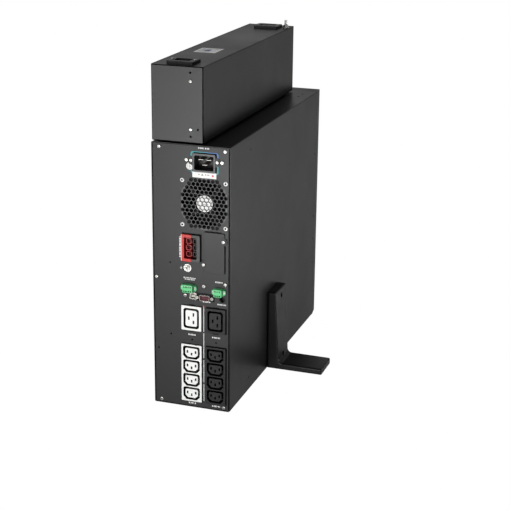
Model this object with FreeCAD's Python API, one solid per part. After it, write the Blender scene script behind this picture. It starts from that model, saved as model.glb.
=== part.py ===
"""Rack and tower battery backup unit (uninterruptible power supply) standing in its tower position on two
side feet, with a narrow line filter module resting on its top.

Frame, in millimetres: +Z up, +Y towards the display front, -Y towards the connector panel, +X to the right as
seen from the connector panel. The origin is the middle of the casing's base, on the surface it stands on.
"""
import FreeCAD
import Part
import math
import os
from FreeCAD import Vector

# ---------------------------------------------------------------- driving dimensions
BODY_WIDTH = 130.0           # 3 rack units less clearance
BODY_HEIGHT = 438.0          # the width of a 19 inch chassis, stood on end
BODY_DEPTH = 504.0           # connector panel to front of bezel
BEZEL_DEPTH = 32.0
SHEET = 1.2                  # steel sheet thickness of every casing panel
SEAM = 0.3                   # gap between neighbouring casing panels
FAN_SIZE = 80.0              # standard 80 mm axial fan
FAN_HOLE_PITCH = 71.5
MODULE_WIDTH = 85.0
MODULE_HEIGHT = 118.0
MODULE_LENGTH = 461.0
MODULE_PAD = 2.0             # rubber pads between the module and the casing
FOOT_REACH = 99.0            # how far each side foot stands out from the casing
FOOT_WIDTH = 58.0
FOOT_HEIGHT = 141.0

# ---------------------------------------------------------------- casing faces worked out from them
LEFT = -BODY_WIDTH / 2
RIGHT = BODY_WIDTH / 2
REAR = -BODY_DEPTH / 2
FRONT = BODY_DEPTH / 2
CASE_FRONT = FRONT - BEZEL_DEPTH
PANEL_FACE = REAR + 0.6                  # outer face of the rear panel, a little inside the casing's edge
PANEL_BACK = PANEL_FACE + SHEET
INNER_LEFT = LEFT + SHEET
INNER_RIGHT = RIGHT - SHEET
INNER_TOP = BODY_HEIGHT - SHEET
BEND = 1.6                               # outer radius of a folded sheet edge
SIDE_COVER_STEP = 2.2                    # how far the side cover stops short of the casing's rear edge
BEZEL_TAPER = 4.0                        # how much each side of the bezel leans in towards its front
BEZEL_STRAIGHT = 4.0                     # length of the bezel's straight stretch beside the casing

# ---------------------------------------------------------------- places on the rear panel, (x, z)
FAN_CENTRE = (22.0, 345.6)
INLET_CENTRE = (22.6, 411.0)
INLET_EAR_PITCH = 43.2
INLET_BRACKET_PITCH = 58.4
INLET_SCREW_RISE = 3.0                   # how far the inlet's screws lie above its centre
BATTERY_PORT_CENTRE = (0.0, 272.2)
BATTERY_PORT_SIZE = (32.4, 44.6)
CARD_COVER_X = (22.4, 56.2)
CARD_COVER_Z = (234.6, 301.0)
CARD_COVER_SCREWS = [(54.6, 288.0), (21.6, 247.4)]
CARD_COVER_THICKNESS = 2.0
EARTH_SCREW = (-6.0, 238.6)
TERMINAL_LEFT = (-3.4, 206.6)
TERMINAL_RIGHT = (47.2, 205.0)
USB_CENTRE = (3.0, 192.6)
SERIAL_CENTRE = (24.0, 192.8)
SERIAL_JACK_PITCH = 24.8
PHONE_JACK_CENTRE = (52.6, 192.6)
LARGE_OUTLET_Z = 154.8
OUTLET_COLUMNS = {"group_one": 0.6, "group_two": 41.2}
OUTLET_STRIP_TOP = 109.6
OUTLET_PITCH = 23.8
OUTLET_COUNT = 4
PANEL_SCREWS = [(-52.0, 431.2), (56.6, 431.6), (-58.8, 218.2), (-52.6, 6.6), (55.2, 6.6),
                (57.4, 217.6), (21.4, 211.0), (-10.2, 192.6)]
SPARE_HOLES = [(-35.2, 244.6), (-35.4, 123.0), (-57.0, 96.2),
               (0.9, 117.4), (41.5, 117.4), (1.3, 6.4), (40.9, 6.4)]
SPARE_HOLE_RADIUS = 1.4

# ---------------------------------------------------------------- inside and front
BAY_TOP = 213.0                          # underside of the battery bay's roof
BAY_REAR = -98.0
TRAY_X = 53.0                            # half width of the battery tray
TRAY_Z = (9.5, 209.0)
TRAY_Y = (-92.4, 214.0)
BLOCK = (94.0, 151.0, 65.0)              # a 12 V 9 Ah lead-acid block lying on its side
DISPLAY_X = 38.0                         # half width of the display housing
DISPLAY_Z = (296.0, 402.0)
DISPLAY_Y = (236.0, 253.0)
DISPLAY_HINGE = (246.0, 396.0)           # (y, z) of the display's tilt axis
BUTTON_PITCH = 16.0
POWER_BUTTON_Z = 275.0
COVER_Z = (8.0, 213.0)                   # battery cover opening in the bezel
COVER_X = 56.0
FOOT_Y = -29.5                           # middle of the right foot; the left one is turned by 180 degrees
FOOT_SCREW_Z = (128.0, 20.0)
COVER_SCREWS = [(-157.0, 414.8), (-157.0, 23.0)]
RACK_EAR_HOLES = [322.0, 202.0, 157.0, 109.0]
RACK_EAR_Y = 214.5
ROOF_HOLES = [(44.6, 168.0), (44.6, 194.0)]


# ---------------------------------------------------------------- small builders
def box(x0, x1, y0, y1, z0, z1):
    return Part.makeBox(x1 - x0, y1 - y0, z1 - z0, Vector(x0, y0, z0))


def rod(centre, radius, length, axis):
    return Part.makeCylinder(radius, length, Vector(*centre), Vector(*axis))


def outline(corners):
    """A closed wire in the plane Y = 0 through (x, z, radius) corners, each rounded to its radius."""
    count = len(corners)
    edges = []
    previous_end = None
    first_start = None
    for i in range(count):
        x, z, radius = corners[i]
        here = Vector(x, 0, z)
        before = Vector(corners[i - 1][0], 0, corners[i - 1][1])
        after = Vector(corners[(i + 1) % count][0], 0, corners[(i + 1) % count][1])
        back = (before - here).normalize()
        ahead = (after - here).normalize()
        if radius > 0:
            half = back.getAngle(ahead) / 2
            reach = radius / math.tan(half)
            start = here + back * reach
            end = here + ahead * reach
            middle_line = (back + ahead).normalize()
            middle = here + middle_line * (radius / math.sin(half) - radius)
            arc = Part.Arc(start, middle, end).toShape()
        else:
            start = here
            end = here
            arc = None
        if previous_end is not None and previous_end.distanceToPoint(start) > 1e-7:
            edges.append(Part.LineSegment(previous_end, start).toShape())
        if arc is not None:
            edges.append(arc)
        if first_start is None:
            first_start = start
        previous_end = end
    if previous_end.distanceToPoint(first_start) > 1e-7:
        edges.append(Part.LineSegment(previous_end, first_start).toShape())
    return Part.Wire(edges)


def slab(corners, y0, y1):
    """The outline's solid between two planes across Y."""
    solid = Part.Face(outline(corners)).extrude(Vector(0, y1 - y0, 0))
    solid.translate(Vector(0, y0, 0))
    return solid


def rounded(x, z, width, height, radius):
    """Corners of a rounded rectangle about (x, z)."""
    w = width / 2
    h = height / 2
    return [(x - w, z - h, radius), (x + w, z - h, radius), (x + w, z + h, radius), (x - w, z + h, radius)]


def small_socket_corners(x, z, width, height, cut):
    """The shape of a 10 A appliance outlet: a rectangle with its two lower corners cut off."""
    w = width / 2
    h = height / 2
    top_radius = cut * 0.6
    return [(x - w + cut, z - h, 0.8), (x + w - cut, z - h, 0.8), (x + w, z - h + cut, 0.8),
            (x + w, z + h, top_radius), (x - w, z + h, top_radius), (x - w, z - h + cut, 0.8)]


def joined(shapes):
    return shapes[0].fuse(shapes[1:]).removeSplitter()


def group(shapes):
    return Part.makeCompound(shapes)


def edges_where(shape, test):
    return [edge for edge in shape.Edges if test(edge)]


def runs_along(edge, letter, length):
    """True for a straight edge of at least that length along one axis."""
    box_of = edge.BoundBox
    spans = {"x": box_of.XLength, "y": box_of.YLength, "z": box_of.ZLength}
    others = [span for name, span in spans.items() if name != letter]
    return spans[letter] > length and max(others) < 1e-3


def pan_screw(centre, direction, head_radius=3.0, head_height=2.0, shank_radius=1.45, shank_length=6.0,
              socket=0.0):
    """A pan head screw with a cross recess, or a round one of radius socket: centre is under the head."""
    dome = Part.makeCylinder(head_radius, head_height)
    dome = dome.makeFillet(head_height * 0.55, [dome.Edges[0]])
    recess_floor = head_height * 0.45
    if socket > 0:
        dome = dome.cut(Part.makeCylinder(socket, head_height, Vector(0, 0, recess_floor)))
    else:
        arm = head_radius * 0.62
        blade = 0.38
        for length, width in ((arm, blade), (blade, arm)):
            slot = Part.makeBox(2 * length, 2 * width, head_height, Vector(-length, -width, recess_floor))
            dome = dome.cut(slot)
    shank = Part.makeCylinder(shank_radius, shank_length, Vector(0, 0, -shank_length))
    screw = dome.fuse(shank).removeSplitter()
    screw.Placement = FreeCAD.Placement(
        Vector(*centre), FreeCAD.Rotation(Vector(0, 0, 1), Vector(*direction)))
    return screw


def hexagon(x, z, across_flats):
    """Corners of a hexagon with two upright sides."""
    radius = across_flats / math.sqrt(3)
    return [(x + radius * math.sin(math.radians(60 * i)), z + radius * math.cos(math.radians(60 * i)), 0)
            for i in range(6)]


REARWARD = (0, -1, 0)


# ---------------------------------------------------------------- casing
def chassis_tray():
    """Folded steel tray: left wall, floor, roof, front plate, rear panel tabs and two tray runners."""
    right_edge = INNER_RIGHT - SEAM
    tray = box(LEFT, right_edge, REAR, CASE_FRONT, 0, BODY_HEIGHT)
    folds = edges_where(tray, lambda e: runs_along(e, "y", 100) and e.BoundBox.XMax < LEFT + 1)
    tray = tray.makeFillet(BEND, folds)
    tray = tray.cut(box(INNER_LEFT, RIGHT, REAR - 1, CASE_FRONT + 1, SHEET, INNER_TOP))
    tab_y = (PANEL_BACK + 0.1, PANEL_BACK + 0.1 + SHEET)
    tabs = []
    for x, z in PANEL_SCREWS[:5]:
        if z > BODY_HEIGHT / 2 + 100:
            tabs.append(box(x - 7, x + 7, *tab_y, z - 7, INNER_TOP + 0.5))
        elif z < 20:
            tabs.append(box(x - 7, x + 7, *tab_y, SHEET - 0.5, z + 4.5))
        else:
            tabs.append(box(INNER_LEFT - 0.5, x + 7, *tab_y, z - 7, z + 7))
    plate_y = CASE_FRONT - 3.0
    front_plate = box(INNER_LEFT - 0.5, right_edge, plate_y, plate_y + SHEET, SHEET - 0.5, INNER_TOP + 0.5)
    mouth = [box(-TRAY_X - 1.5, TRAY_X + 1.5, plate_y - 1, plate_y + 3, TRAY_Z[0] - 0.9, TRAY_Z[1] + 1.5)]
    mouth += [slab(rounded(0, 225.0 + 10 * i, 96, 6, 2.9), plate_y - 1, plate_y + 3) for i in range(6)]
    mouth.append(rod((0, plate_y - 1, 340), 9, 4, (0, 1, 0)))
    runners = [box(x - 4, x + 4, BAY_REAR + 4, plate_y + 0.5, SHEET - 0.5, TRAY_Z[0] - 0.3)
               for x in (-42.0, 42.0)]
    tray = joined([tray, front_plate.cut(mouth)] + tabs + runners)
    holes = [rod((x, PANEL_BACK - 2, z), 1.6, 8, (0, 1, 0)) for x, z in PANEL_SCREWS[:5]]
    holes += [rod((x, y, INNER_TOP - 2), 2.0, 8, (0, 0, 1)) for x, y in ROOF_HOLES]
    for z in FOOT_SCREW_Z:
        holes.append(rod((LEFT - 1, -FOOT_Y, z), 2.1, 6, (1, 0, 0)))
    return tray.cut(holes)


def side_cover():
    """Right wall of the casing, with inner flanges under the tray's roof and over its floor."""
    flange = 13.0
    wall = box(INNER_RIGHT, RIGHT, REAR + SIDE_COVER_STEP, CASE_FRONT, 0, BODY_HEIGHT)
    folds = edges_where(wall, lambda e: runs_along(e, "y", 100) and e.BoundBox.XMin > RIGHT - 0.1)
    wall = wall.makeFillet(SHEET - 0.1, folds)
    low = SHEET + 0.15
    high = INNER_TOP - 0.15
    flange_y = (PANEL_BACK + 12, CASE_FRONT - 6)
    flanges = [box(RIGHT - flange, INNER_RIGHT + 0.2, *flange_y, low, low + SHEET),
               box(RIGHT - flange, INNER_RIGHT + 0.2, *flange_y, high - SHEET, high)]
    cover = joined([wall] + flanges)
    holes = []
    for y, z in COVER_SCREWS:
        holes.append(rod((INNER_RIGHT - 1, y, z), 1.7, 4, (1, 0, 0)))
        holes.append(Part.makeCone(3.0, 1.7, 1.1, Vector(RIGHT + 0.01, y, z), Vector(-1, 0, 0)))
    for z in RACK_EAR_HOLES:
        holes.append(rod((INNER_RIGHT - 1, RACK_EAR_Y, z), 1.65, 4, (1, 0, 0)))
    for z in FOOT_SCREW_Z:
        holes.append(rod((INNER_RIGHT - 2, FOOT_Y, z), 2.1, 6, (1, 0, 0)))
    return cover.cut(holes)


def cover_screws():
    """Countersunk screws of the side cover."""
    screws = []
    for y, z in COVER_SCREWS:
        head = Part.makeCone(2.7, 1.4, 1.0, Vector(RIGHT - 0.15, y, z), Vector(-1, 0, 0))
        shank = rod((RIGHT - 1.1, y, z), 1.4, 5, (-1, 0, 0))
        recess = [box(RIGHT - 0.7, RIGHT, y - 1.4, y + 1.4, z - 0.3, z + 0.3),
                  box(RIGHT - 0.7, RIGHT, y - 0.3, y + 0.3, z - 1.4, z + 1.4)]
        screws.append(head.fuse(shank).removeSplitter().cut(recess))
    return screws


GRILLE_PITCH = 7.1
GRILLE_HOLE = 6.3                        # across flats of one honeycomb opening
GRILLE_RADIUS = 43.0
GRILLE_HALF_WIDTH = 38.0


def grille_holes(y0, y1):
    """The honeycomb of the fan grille: a square of cells with its corners left out."""
    row_pitch = GRILLE_PITCH * math.sqrt(3) / 2
    cells = []
    for row in range(-6, 7):
        offset = GRILLE_PITCH / 2 if row % 2 else 0.0
        for column in range(-6, 7):
            dx = column * GRILLE_PITCH + offset
            dz = row * row_pitch
            if math.hypot(dx, dz) <= GRILLE_RADIUS and abs(dx) <= GRILLE_HALF_WIDTH:
                cells.append(slab(hexagon(FAN_CENTRE[0] + dx, FAN_CENTRE[1] + dz, GRILLE_HOLE), y0, y1))
    return cells


def fan_corners():
    half = FAN_HOLE_PITCH / 2
    return [(FAN_CENTRE[0] + sx * half, FAN_CENTRE[1] + sz * half) for sx in (-1, 1) for sz in (-1, 1)]


INLET_BODY = (37.4, 29.0)
INLET_WELL = (31.6, 23.2)
LARGE_OUTLET_SIZE = (34.2, 41.6)
LARGE_RECESS = (26.4, 34.0)
LARGE_CORE = (19.6, 27.0)
SMALL_RECESS = (28.6, 22.0)
SMALL_CORE = (21.6, 15.0)
STRIP_SIZE = (35.0, 99.0)
STRIP_CENTRE_Z = OUTLET_STRIP_TOP - STRIP_SIZE[1] / 2
HOUSING_INSET = 2.2                      # how much smaller each housing is behind the panel than its flange
TERMINAL_OPENINGS = {"left": (24.0, 11.0), "right": (20.0, 11.0)}
USB_SIZE = (11.0, 11.0)
SERIAL_SHELL = (19.4, 10.8)
PHONE_JACK_SIZE = (12.0, 12.4)
CARD_SLOT = (26.0, 60.0)
LATCH_NOTCH = (11.0, 2.6)


def rear_panel():
    """Connector panel: a flat sheet with every cut-out, folded over at its top and bottom."""
    gap = 0.5
    y0 = PANEL_FACE
    y1 = PANEL_BACK
    edge = 2 * (SHEET + gap)
    plate = slab(rounded(0, BODY_HEIGHT / 2, BODY_WIDTH - edge, BODY_HEIGHT - edge, 0.6), y0, y1)
    fold_x = 30.0
    folds = [box(-fold_x, fold_x, y0 + 0.4, y1 + 9, INNER_TOP - gap - SHEET, INNER_TOP - gap),
             box(-fold_x, fold_x, y0 + 0.4, y1 + 9, SHEET + gap, 2 * SHEET + gap)]
    plate = joined([plate] + folds)
    cut_y = (y0 - 1, y1 + 1)
    inset = HOUSING_INSET - 0.4
    cuts = grille_holes(*cut_y)

    def opening(centre, size, extra, radius):
        cuts.append(slab(rounded(*centre, size[0] + extra, size[1] + extra, radius), *cut_y))

    opening(INLET_CENTRE, INLET_BODY, -inset, 1.5)
    opening(BATTERY_PORT_CENTRE, BATTERY_PORT_SIZE, -inset, 1.0)
    opening((sum(CARD_COVER_X) / 2, sum(CARD_COVER_Z) / 2), CARD_SLOT, 0, 1.0)
    for x in OUTLET_COLUMNS.values():
        opening((x, LARGE_OUTLET_Z), LARGE_OUTLET_SIZE, -inset, 1.0)
        opening((x, STRIP_CENTRE_Z), STRIP_SIZE, -inset, 1.0)
        for side in (-1, 1):
            opening((x, LARGE_OUTLET_Z + side * (LARGE_OUTLET_SIZE[1] / 2 + 0.6)), LATCH_NOTCH, 0, 0.8)
    opening(TERMINAL_LEFT, TERMINAL_OPENINGS["left"], 0.6, 0.5)
    opening(TERMINAL_RIGHT, TERMINAL_OPENINGS["right"], 0.6, 0.5)
    opening(USB_CENTRE, USB_SIZE, 0.6, 0.5)
    opening(SERIAL_CENTRE, SERIAL_SHELL, 0.4, 2.5)
    opening(PHONE_JACK_CENTRE, PHONE_JACK_SIZE, 0.4, 0.5)
    holes = fan_corners() + PANEL_SCREWS + CARD_COVER_SCREWS
    for side in (-1, 1):
        for pitch in (INLET_EAR_PITCH, INLET_BRACKET_PITCH):
            holes.append((INLET_CENTRE[0] + side * pitch / 2, INLET_CENTRE[1] + INLET_SCREW_RISE))
        holes.append((SERIAL_CENTRE[0] + side * SERIAL_JACK_PITCH / 2, SERIAL_CENTRE[1]))
    cuts += [rod((x, y0 - 1, z), 1.7, 4, (0, 1, 0)) for x, z in holes]
    cuts.append(rod((EARTH_SCREW[0], y0 - 1, EARTH_SCREW[1]), 2.6, 4, (0, 1, 0)))
    for x, z in SPARE_HOLES:
        cuts.append(rod((x, y0 - 1, z), SPARE_HOLE_RADIUS, 4, (0, 1, 0)))
    return plate.cut(cuts)


def casing_screws():
    """Every small screw of the casing: side cover, rear panel, inlet bracket and ears, card slot."""
    screws = cover_screws()
    screws += [pan_screw((x, PANEL_FACE - 0.02, z), REARWARD, 2.9, 1.9, 1.45, 5.0) for x, z in PANEL_SCREWS]
    cover_y = PANEL_FACE - CARD_COVER_THICKNESS - 0.02
    screws += [pan_screw((x, cover_y, z), REARWARD, 2.9, 1.9, 1.45, 7.0) for x, z in CARD_COVER_SCREWS]
    x, z = INLET_CENTRE
    for side in (-1, 1):
        ear = (x + side * INLET_EAR_PITCH / 2, PANEL_FACE - 1.52, z + INLET_SCREW_RISE)
        bracket = (x + side * INLET_BRACKET_PITCH / 2, PANEL_FACE - 0.02, z + INLET_SCREW_RISE)
        screws.append(pan_screw(ear, REARWARD, 2.6, 1.6, 1.4, 8.0))
        screws.append(pan_screw(bracket, REARWARD, 3.0, 2.0, 1.45, 7.0))
    return group(screws)


def earth_screw():
    """Earth bonding stud with a toothed washer and a hexagon nut."""
    x, z = EARTH_SCREW
    washer = rod((x, PANEL_FACE - 0.9, z), 6.6, 0.88, (0, 1, 0))
    notches = []
    for i in range(16):
        angle = 2 * math.pi * i / 16
        place = (x + 6.9 * math.cos(angle), PANEL_FACE - 1.5, z + 6.9 * math.sin(angle))
        notches.append(rod(place, 0.7, 2, (0, 1, 0)))
    washer = washer.cut(notches)
    nut = slab(hexagon(x, z, 8.0), PANEL_FACE - 4.6, PANEL_FACE - 0.9)
    stud = rod((x, PANEL_FACE - 9.6, z), 2.45, 16.6, (0, 1, 0))
    stud = stud.makeChamfer(0.5, edges_where(stud, lambda e: e.BoundBox.YMax < PANEL_FACE - 9))
    return joined([washer, nut, stud])


# ---------------------------------------------------------------- fan
FAN_DEPTH = 25.4
FAN_BORE = 38.0
FAN_FACE = PANEL_BACK + 0.1
MOTOR_HUB = 14.0
SEAT_RECESS = 1.0                        # how far the motor seat lies behind the frame's face
ROTOR_HUB = 17.0
SHAFT_RADIUS = 1.5


def fan_frame():
    """Square fan frame with its bore, four struts and the fixed motor seat and bearing tube."""
    x, z = FAN_CENTRE
    y0 = FAN_FACE
    y1 = y0 + FAN_DEPTH
    frame = slab(rounded(x, z, FAN_SIZE, FAN_SIZE, 4.0), y0, y1)
    frame = frame.cut(rod((x, y0 - 1, z), FAN_BORE, FAN_DEPTH + 2, (0, 1, 0)))
    waist = slab(rounded(x, z, FAN_SIZE + 2, FAN_SIZE + 2, 4.0), y0 + 4, y1 - 4)
    waist = waist.cut(rod((x, y0, z), FAN_BORE + 1.6, FAN_DEPTH, (0, 1, 0)))
    frame = frame.cut(waist)
    holes = [rod((cx, y0 - 1, cz), 2.2, FAN_DEPTH + 2, (0, 1, 0)) for cx, cz in fan_corners()]
    frame = frame.cut(holes)
    struts = []
    for i in range(4):
        strut = box(MOTOR_HUB - 0.4, FAN_BORE + 0.6, 0, 2.6, -1.5, 1.5)
        strut.rotate(Vector(0, 0, 0), Vector(0, 1, 0), 45 + 90 * i)
        strut.translate(Vector(x, y0, z))
        struts.append(strut)
    seat = rod((x, y0 + SEAT_RECESS, z), MOTOR_HUB, 3.0 - SEAT_RECESS, (0, 1, 0))
    tube = rod((x, y0 + 2.5, z), 4.2, 15.5, (0, 1, 0))
    frame = joined([frame, seat, tube] + struts)
    return frame.cut(rod((x, y0 + SEAT_RECESS + 0.8, z), 3.0, 30, (0, 1, 0)))


def fan_bearings():
    """Two plain bearing rings in the fan's bearing tube."""
    x, z = FAN_CENTRE
    rings = []
    for depth in (3.4, 13.4):
        ring = rod((x, FAN_FACE + depth, z), 2.98, 3.6, (0, 1, 0))
        rings.append(ring.cut(rod((x, FAN_FACE + depth - 1, z), SHAFT_RADIUS + 0.05, 6, (0, 1, 0))))
    return group(rings)


def fan_rotor():
    """Rotor cup with seven twisted blades and the shaft that turns in the bearings."""
    x, z = FAN_CENTRE
    y0 = FAN_FACE + 3.8
    cup_end = FAN_FACE + 22.5
    cup = rod((x, y0, z), ROTOR_HUB, cup_end - y0, (0, 1, 0))
    cup = cup.cut(rod((x, y0 - 1, z), ROTOR_HUB - 2.2, cup_end - y0 - 1.4, (0, 1, 0)))
    shaft = rod((x, FAN_FACE + 2.0, z), SHAFT_RADIUS, cup_end - FAN_FACE - 3, (0, 1, 0))
    blades = []
    steps = 5
    for i in range(7):
        sections = []
        for k in range(steps):
            share = k / (steps - 1)
            radius = ROTOR_HUB - 1.0 + share * (FAN_BORE - 1.4 - ROTOR_HUB + 1.0)
            pitch = math.radians(52 - 20 * share)
            chord = 17.0
            dy = chord / 2 * math.sin(pitch)
            dt = chord / 2 * math.cos(pitch)
            thick = 0.6
            middle = (y0 + cup_end) / 2
            corners = [Vector(radius, middle - dy - thick, -dt), Vector(radius, middle + dy - thick, dt),
                       Vector(radius, middle + dy + thick, dt), Vector(radius, middle - dy + thick, -dt)]
            sections.append(Part.makePolygon(corners + [corners[0]]))
        blade = Part.makeLoft(sections, True, True)
        blade.rotate(Vector(0, 0, 0), Vector(0, 1, 0), 360.0 * i / 7)
        blade.translate(Vector(x, 0, z))
        blades.append(blade)
    return joined([cup, shaft] + blades)


def fan_screws():
    """Self-tapping fan screws with a round driver recess."""
    places = [(x, PANEL_FACE - 0.02, z) for x, z in fan_corners()]
    return group([pan_screw(place, REARWARD, 3.5, 1.9, 1.45, 10.0, socket=1.5) for place in places])


# ---------------------------------------------------------------- power sockets
INLET_FLANGE = 2.6
SOCKET_DEPTH = 17.0


def power_inlet():
    """16 A inlet: a raised frame with two screw ears and a deep pin well."""
    x, z = INLET_CENTRE
    y_front = PANEL_FACE - INLET_FLANGE
    frame = slab(rounded(x, z, *INLET_BODY, 2.0), y_front, PANEL_FACE - 0.02)
    ear_x = INLET_EAR_PITCH / 2 + 4.0
    ear_low = z + INLET_SCREW_RISE - 5.0
    ear_high = z + INLET_SCREW_RISE + 5.0
    ears = slab([(x - ear_x, ear_low, 4.0), (x, z - INLET_BODY[1] / 2 + 0.5, 0), (x + ear_x, ear_low, 4.0),
                 (x + ear_x, ear_high, 4.0), (x, z + INLET_BODY[1] / 2 - 0.5, 0), (x - ear_x, ear_high, 4.0)],
                PANEL_FACE - 1.5, PANEL_FACE - 0.02)
    inside = slab(rounded(x, z, INLET_BODY[0] - HOUSING_INSET, INLET_BODY[1] - HOUSING_INSET, 1.0),
                  PANEL_FACE - 0.5, PANEL_FACE + 30.0)
    body = joined([frame, ears, inside])
    well = slab(rounded(x, z, *INLET_WELL, 2.4), y_front - 1, y_front + SOCKET_DEPTH + 3)
    holes = [rod((x + side * INLET_EAR_PITCH / 2, PANEL_FACE - 5, z + INLET_SCREW_RISE), 1.7, 8, (0, 1, 0))
             for side in (-1, 1)]
    return body.cut([well, inlet_pins()] + holes)


def inlet_pins():
    """Three flat pins of the inlet, set back behind its rim."""
    x, z = INLET_CENTRE
    y0 = PANEL_FACE - INLET_FLANGE + 5.0
    y1 = PANEL_FACE + 38.0
    pins = []
    for dx, dz in ((-6.5, 4.2), (6.5, 4.2), (0, -3.8)):
        pin = box(x + dx - 3.9, x + dx + 3.9, y0, y1, z + dz - 1.0, z + dz + 1.0)
        tip = edges_where(pin, lambda e: runs_along(e, "x", 5) and e.BoundBox.YMax < y0 + 0.1)
        pins.append(pin.makeChamfer(0.6, tip))
    return group(pins)


OUTLET_FLANGE = 3.0


def large_outlet(column_x):
    """16 A outlet turned on its side: flange, recess all round and a core with three slots."""
    z = LARGE_OUTLET_Z
    y_front = PANEL_FACE - OUTLET_FLANGE
    flange = slab(rounded(column_x, z, *LARGE_OUTLET_SIZE, 1.2), y_front, PANEL_FACE - 0.02)
    rim = edges_where(flange, lambda e: e.BoundBox.YMax < y_front + 0.01)
    flange = flange.makeFillet(0.7, rim)
    inner_width = LARGE_OUTLET_SIZE[0] - HOUSING_INSET
    inner_height = LARGE_OUTLET_SIZE[1] - HOUSING_INSET
    inside = slab(rounded(column_x, z, inner_width, inner_height, 1.0), PANEL_FACE - 0.5, PANEL_FACE + 28.0)
    body = joined([flange, inside])
    recess = slab(rounded(column_x, z, *LARGE_RECESS, 4.4), y_front - 1, y_front + SOCKET_DEPTH)
    core = slab(rounded(column_x, z, *LARGE_CORE, 3.0), y_front + 0.4, y_front + SOCKET_DEPTH + 2)
    slots = []
    for dx, dz in ((3.6, 6.5), (3.6, -6.5), (-4.2, 0.0)):
        slots.append(box(column_x + dx - 1.25, column_x + dx + 1.25, y_front - 1, y_front + 16,
                         z + dz - 2.9, z + dz + 2.9))
    return body.cut(recess).fuse(core).removeSplitter().cut(slots)


def outlet_strip(column_x):
    """Four 10 A outlets in one moulded strip."""
    z = STRIP_CENTRE_Z
    y_front = PANEL_FACE - OUTLET_FLANGE
    flange = slab(rounded(column_x, z, *STRIP_SIZE, 1.2), y_front, PANEL_FACE - 0.02)
    rim = edges_where(flange, lambda e: e.BoundBox.YMax < y_front + 0.01)
    flange = flange.makeFillet(0.7, rim)
    inside = slab(rounded(column_x, z, STRIP_SIZE[0] - HOUSING_INSET, STRIP_SIZE[1] - HOUSING_INSET, 1.0),
                  PANEL_FACE - 0.5, PANEL_FACE + 26.0)
    body = joined([flange, inside])
    recesses = []
    cores = []
    slots = []
    for i in range(OUTLET_COUNT):
        centre_z = outlet_z(i)
        recess_outline = small_socket_corners(column_x, centre_z, *SMALL_RECESS, 5.6)
        core_outline = small_socket_corners(column_x, centre_z, *SMALL_CORE, 4.4)
        recesses.append(slab(recess_outline, y_front - 1, y_front + 15.5))
        cores.append(slab(core_outline, y_front + 0.4, y_front + 16.5))
        for dx, dz in ((-7.0, 1.4), (7.0, 1.4), (0.0, -2.4)):
            slots.append(box(column_x + dx - 1.3, column_x + dx + 1.3, y_front - 1, y_front + 14,
                             centre_z + dz - 2.3, centre_z + dz + 2.3))
    return body.cut(recesses).fuse(cores).removeSplitter().cut(slots)


def outlet_z(index):
    """Height of one small outlet's centre, counted from the top of the strip."""
    return STRIP_CENTRE_Z + (OUTLET_COUNT - 1) / 2 * OUTLET_PITCH - index * OUTLET_PITCH


def outlet_latches():
    """Black spring tabs above and below each 16 A outlet."""
    tabs = []
    for x in OUTLET_COLUMNS.values():
        for side in (-1, 1):
            z = LARGE_OUTLET_Z + side * (LARGE_OUTLET_SIZE[1] / 2 + 0.95)
            tabs.append(slab(rounded(x, z, 9.6, 1.5, 0.4), PANEL_FACE - 1.6, PANEL_FACE + 6))
    return group(tabs)


# ---------------------------------------------------------------- battery port, card slot and signal ports
PORT_FLANGE = 4.0
PORT_WELL = (21.4, 35.0)
PORT_WELL_DEPTH = 16.0
PORT_CONTACT_PITCH = 10.6


def battery_port_half(side):
    """One half of the external battery port: -1 is the positive (left) half, 1 the negative (right) half."""
    x, z = BATTERY_PORT_CENTRE
    w, h = BATTERY_PORT_SIZE
    y_front = PANEL_FACE - PORT_FLANGE
    flange = slab(rounded(x, z, w, h, 2.4), y_front, PANEL_FACE - 0.02)
    rim = edges_where(flange, lambda e: e.BoundBox.YMax < y_front + 0.01)
    flange = flange.makeFillet(0.8, rim)
    inside = slab(rounded(x, z, w - HOUSING_INSET, h - HOUSING_INSET, 1.0), PANEL_FACE - 0.5, PANEL_FACE + 32)
    body = joined([flange, inside])
    well = slab(rounded(x, z, *PORT_WELL, 2.0), y_front - 1, y_front + PORT_WELL_DEPTH)
    body = body.cut(well)
    split_x = x + 1.2
    keep = box(x - w, split_x - 0.05, y_front - 5, PANEL_FACE + 60, z - h, z + h)
    if side > 0:
        keep = box(split_x + 0.05, x + w, y_front - 5, PANEL_FACE + 60, z - h, z + h)
    return joined([body.common(keep)] + port_shrouds(side))


def port_shrouds(side):
    """Three open shrouds of one half, standing on the floor of the port's well."""
    x, z = BATTERY_PORT_CENTRE
    centre_x = x + (-4.2 if side < 0 else 6.2)
    width = 9.0 if side < 0 else 7.0
    y0 = PANEL_FACE - PORT_FLANGE + 5.0
    y1 = PANEL_FACE - PORT_FLANGE + PORT_WELL_DEPTH
    shrouds = []
    for i in range(3):
        cz = z + (i - 1) * PORT_CONTACT_PITCH
        shroud = slab(rounded(centre_x, cz, width, 9.0, 2.2), y0, y1 + 0.5)
        shrouds.append(shroud.cut(slab(rounded(centre_x, cz, width - 2.6, 6.4, 1.4), y0 - 1, y1)))
    return shrouds


def port_contacts():
    """Six flat contacts of the battery port, one in each shroud."""
    x, z = BATTERY_PORT_CENTRE
    y1 = PANEL_FACE - PORT_FLANGE + PORT_WELL_DEPTH
    blades = []
    for centre_x in (x - 4.2, x + 6.2):
        for i in range(3):
            cz = z + (i - 1) * PORT_CONTACT_PITCH
            blades.append(box(centre_x - 0.8, centre_x + 0.8, y1 - 9.0, y1, cz - 2.4, cz + 2.4))
    return group(blades)


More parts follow.
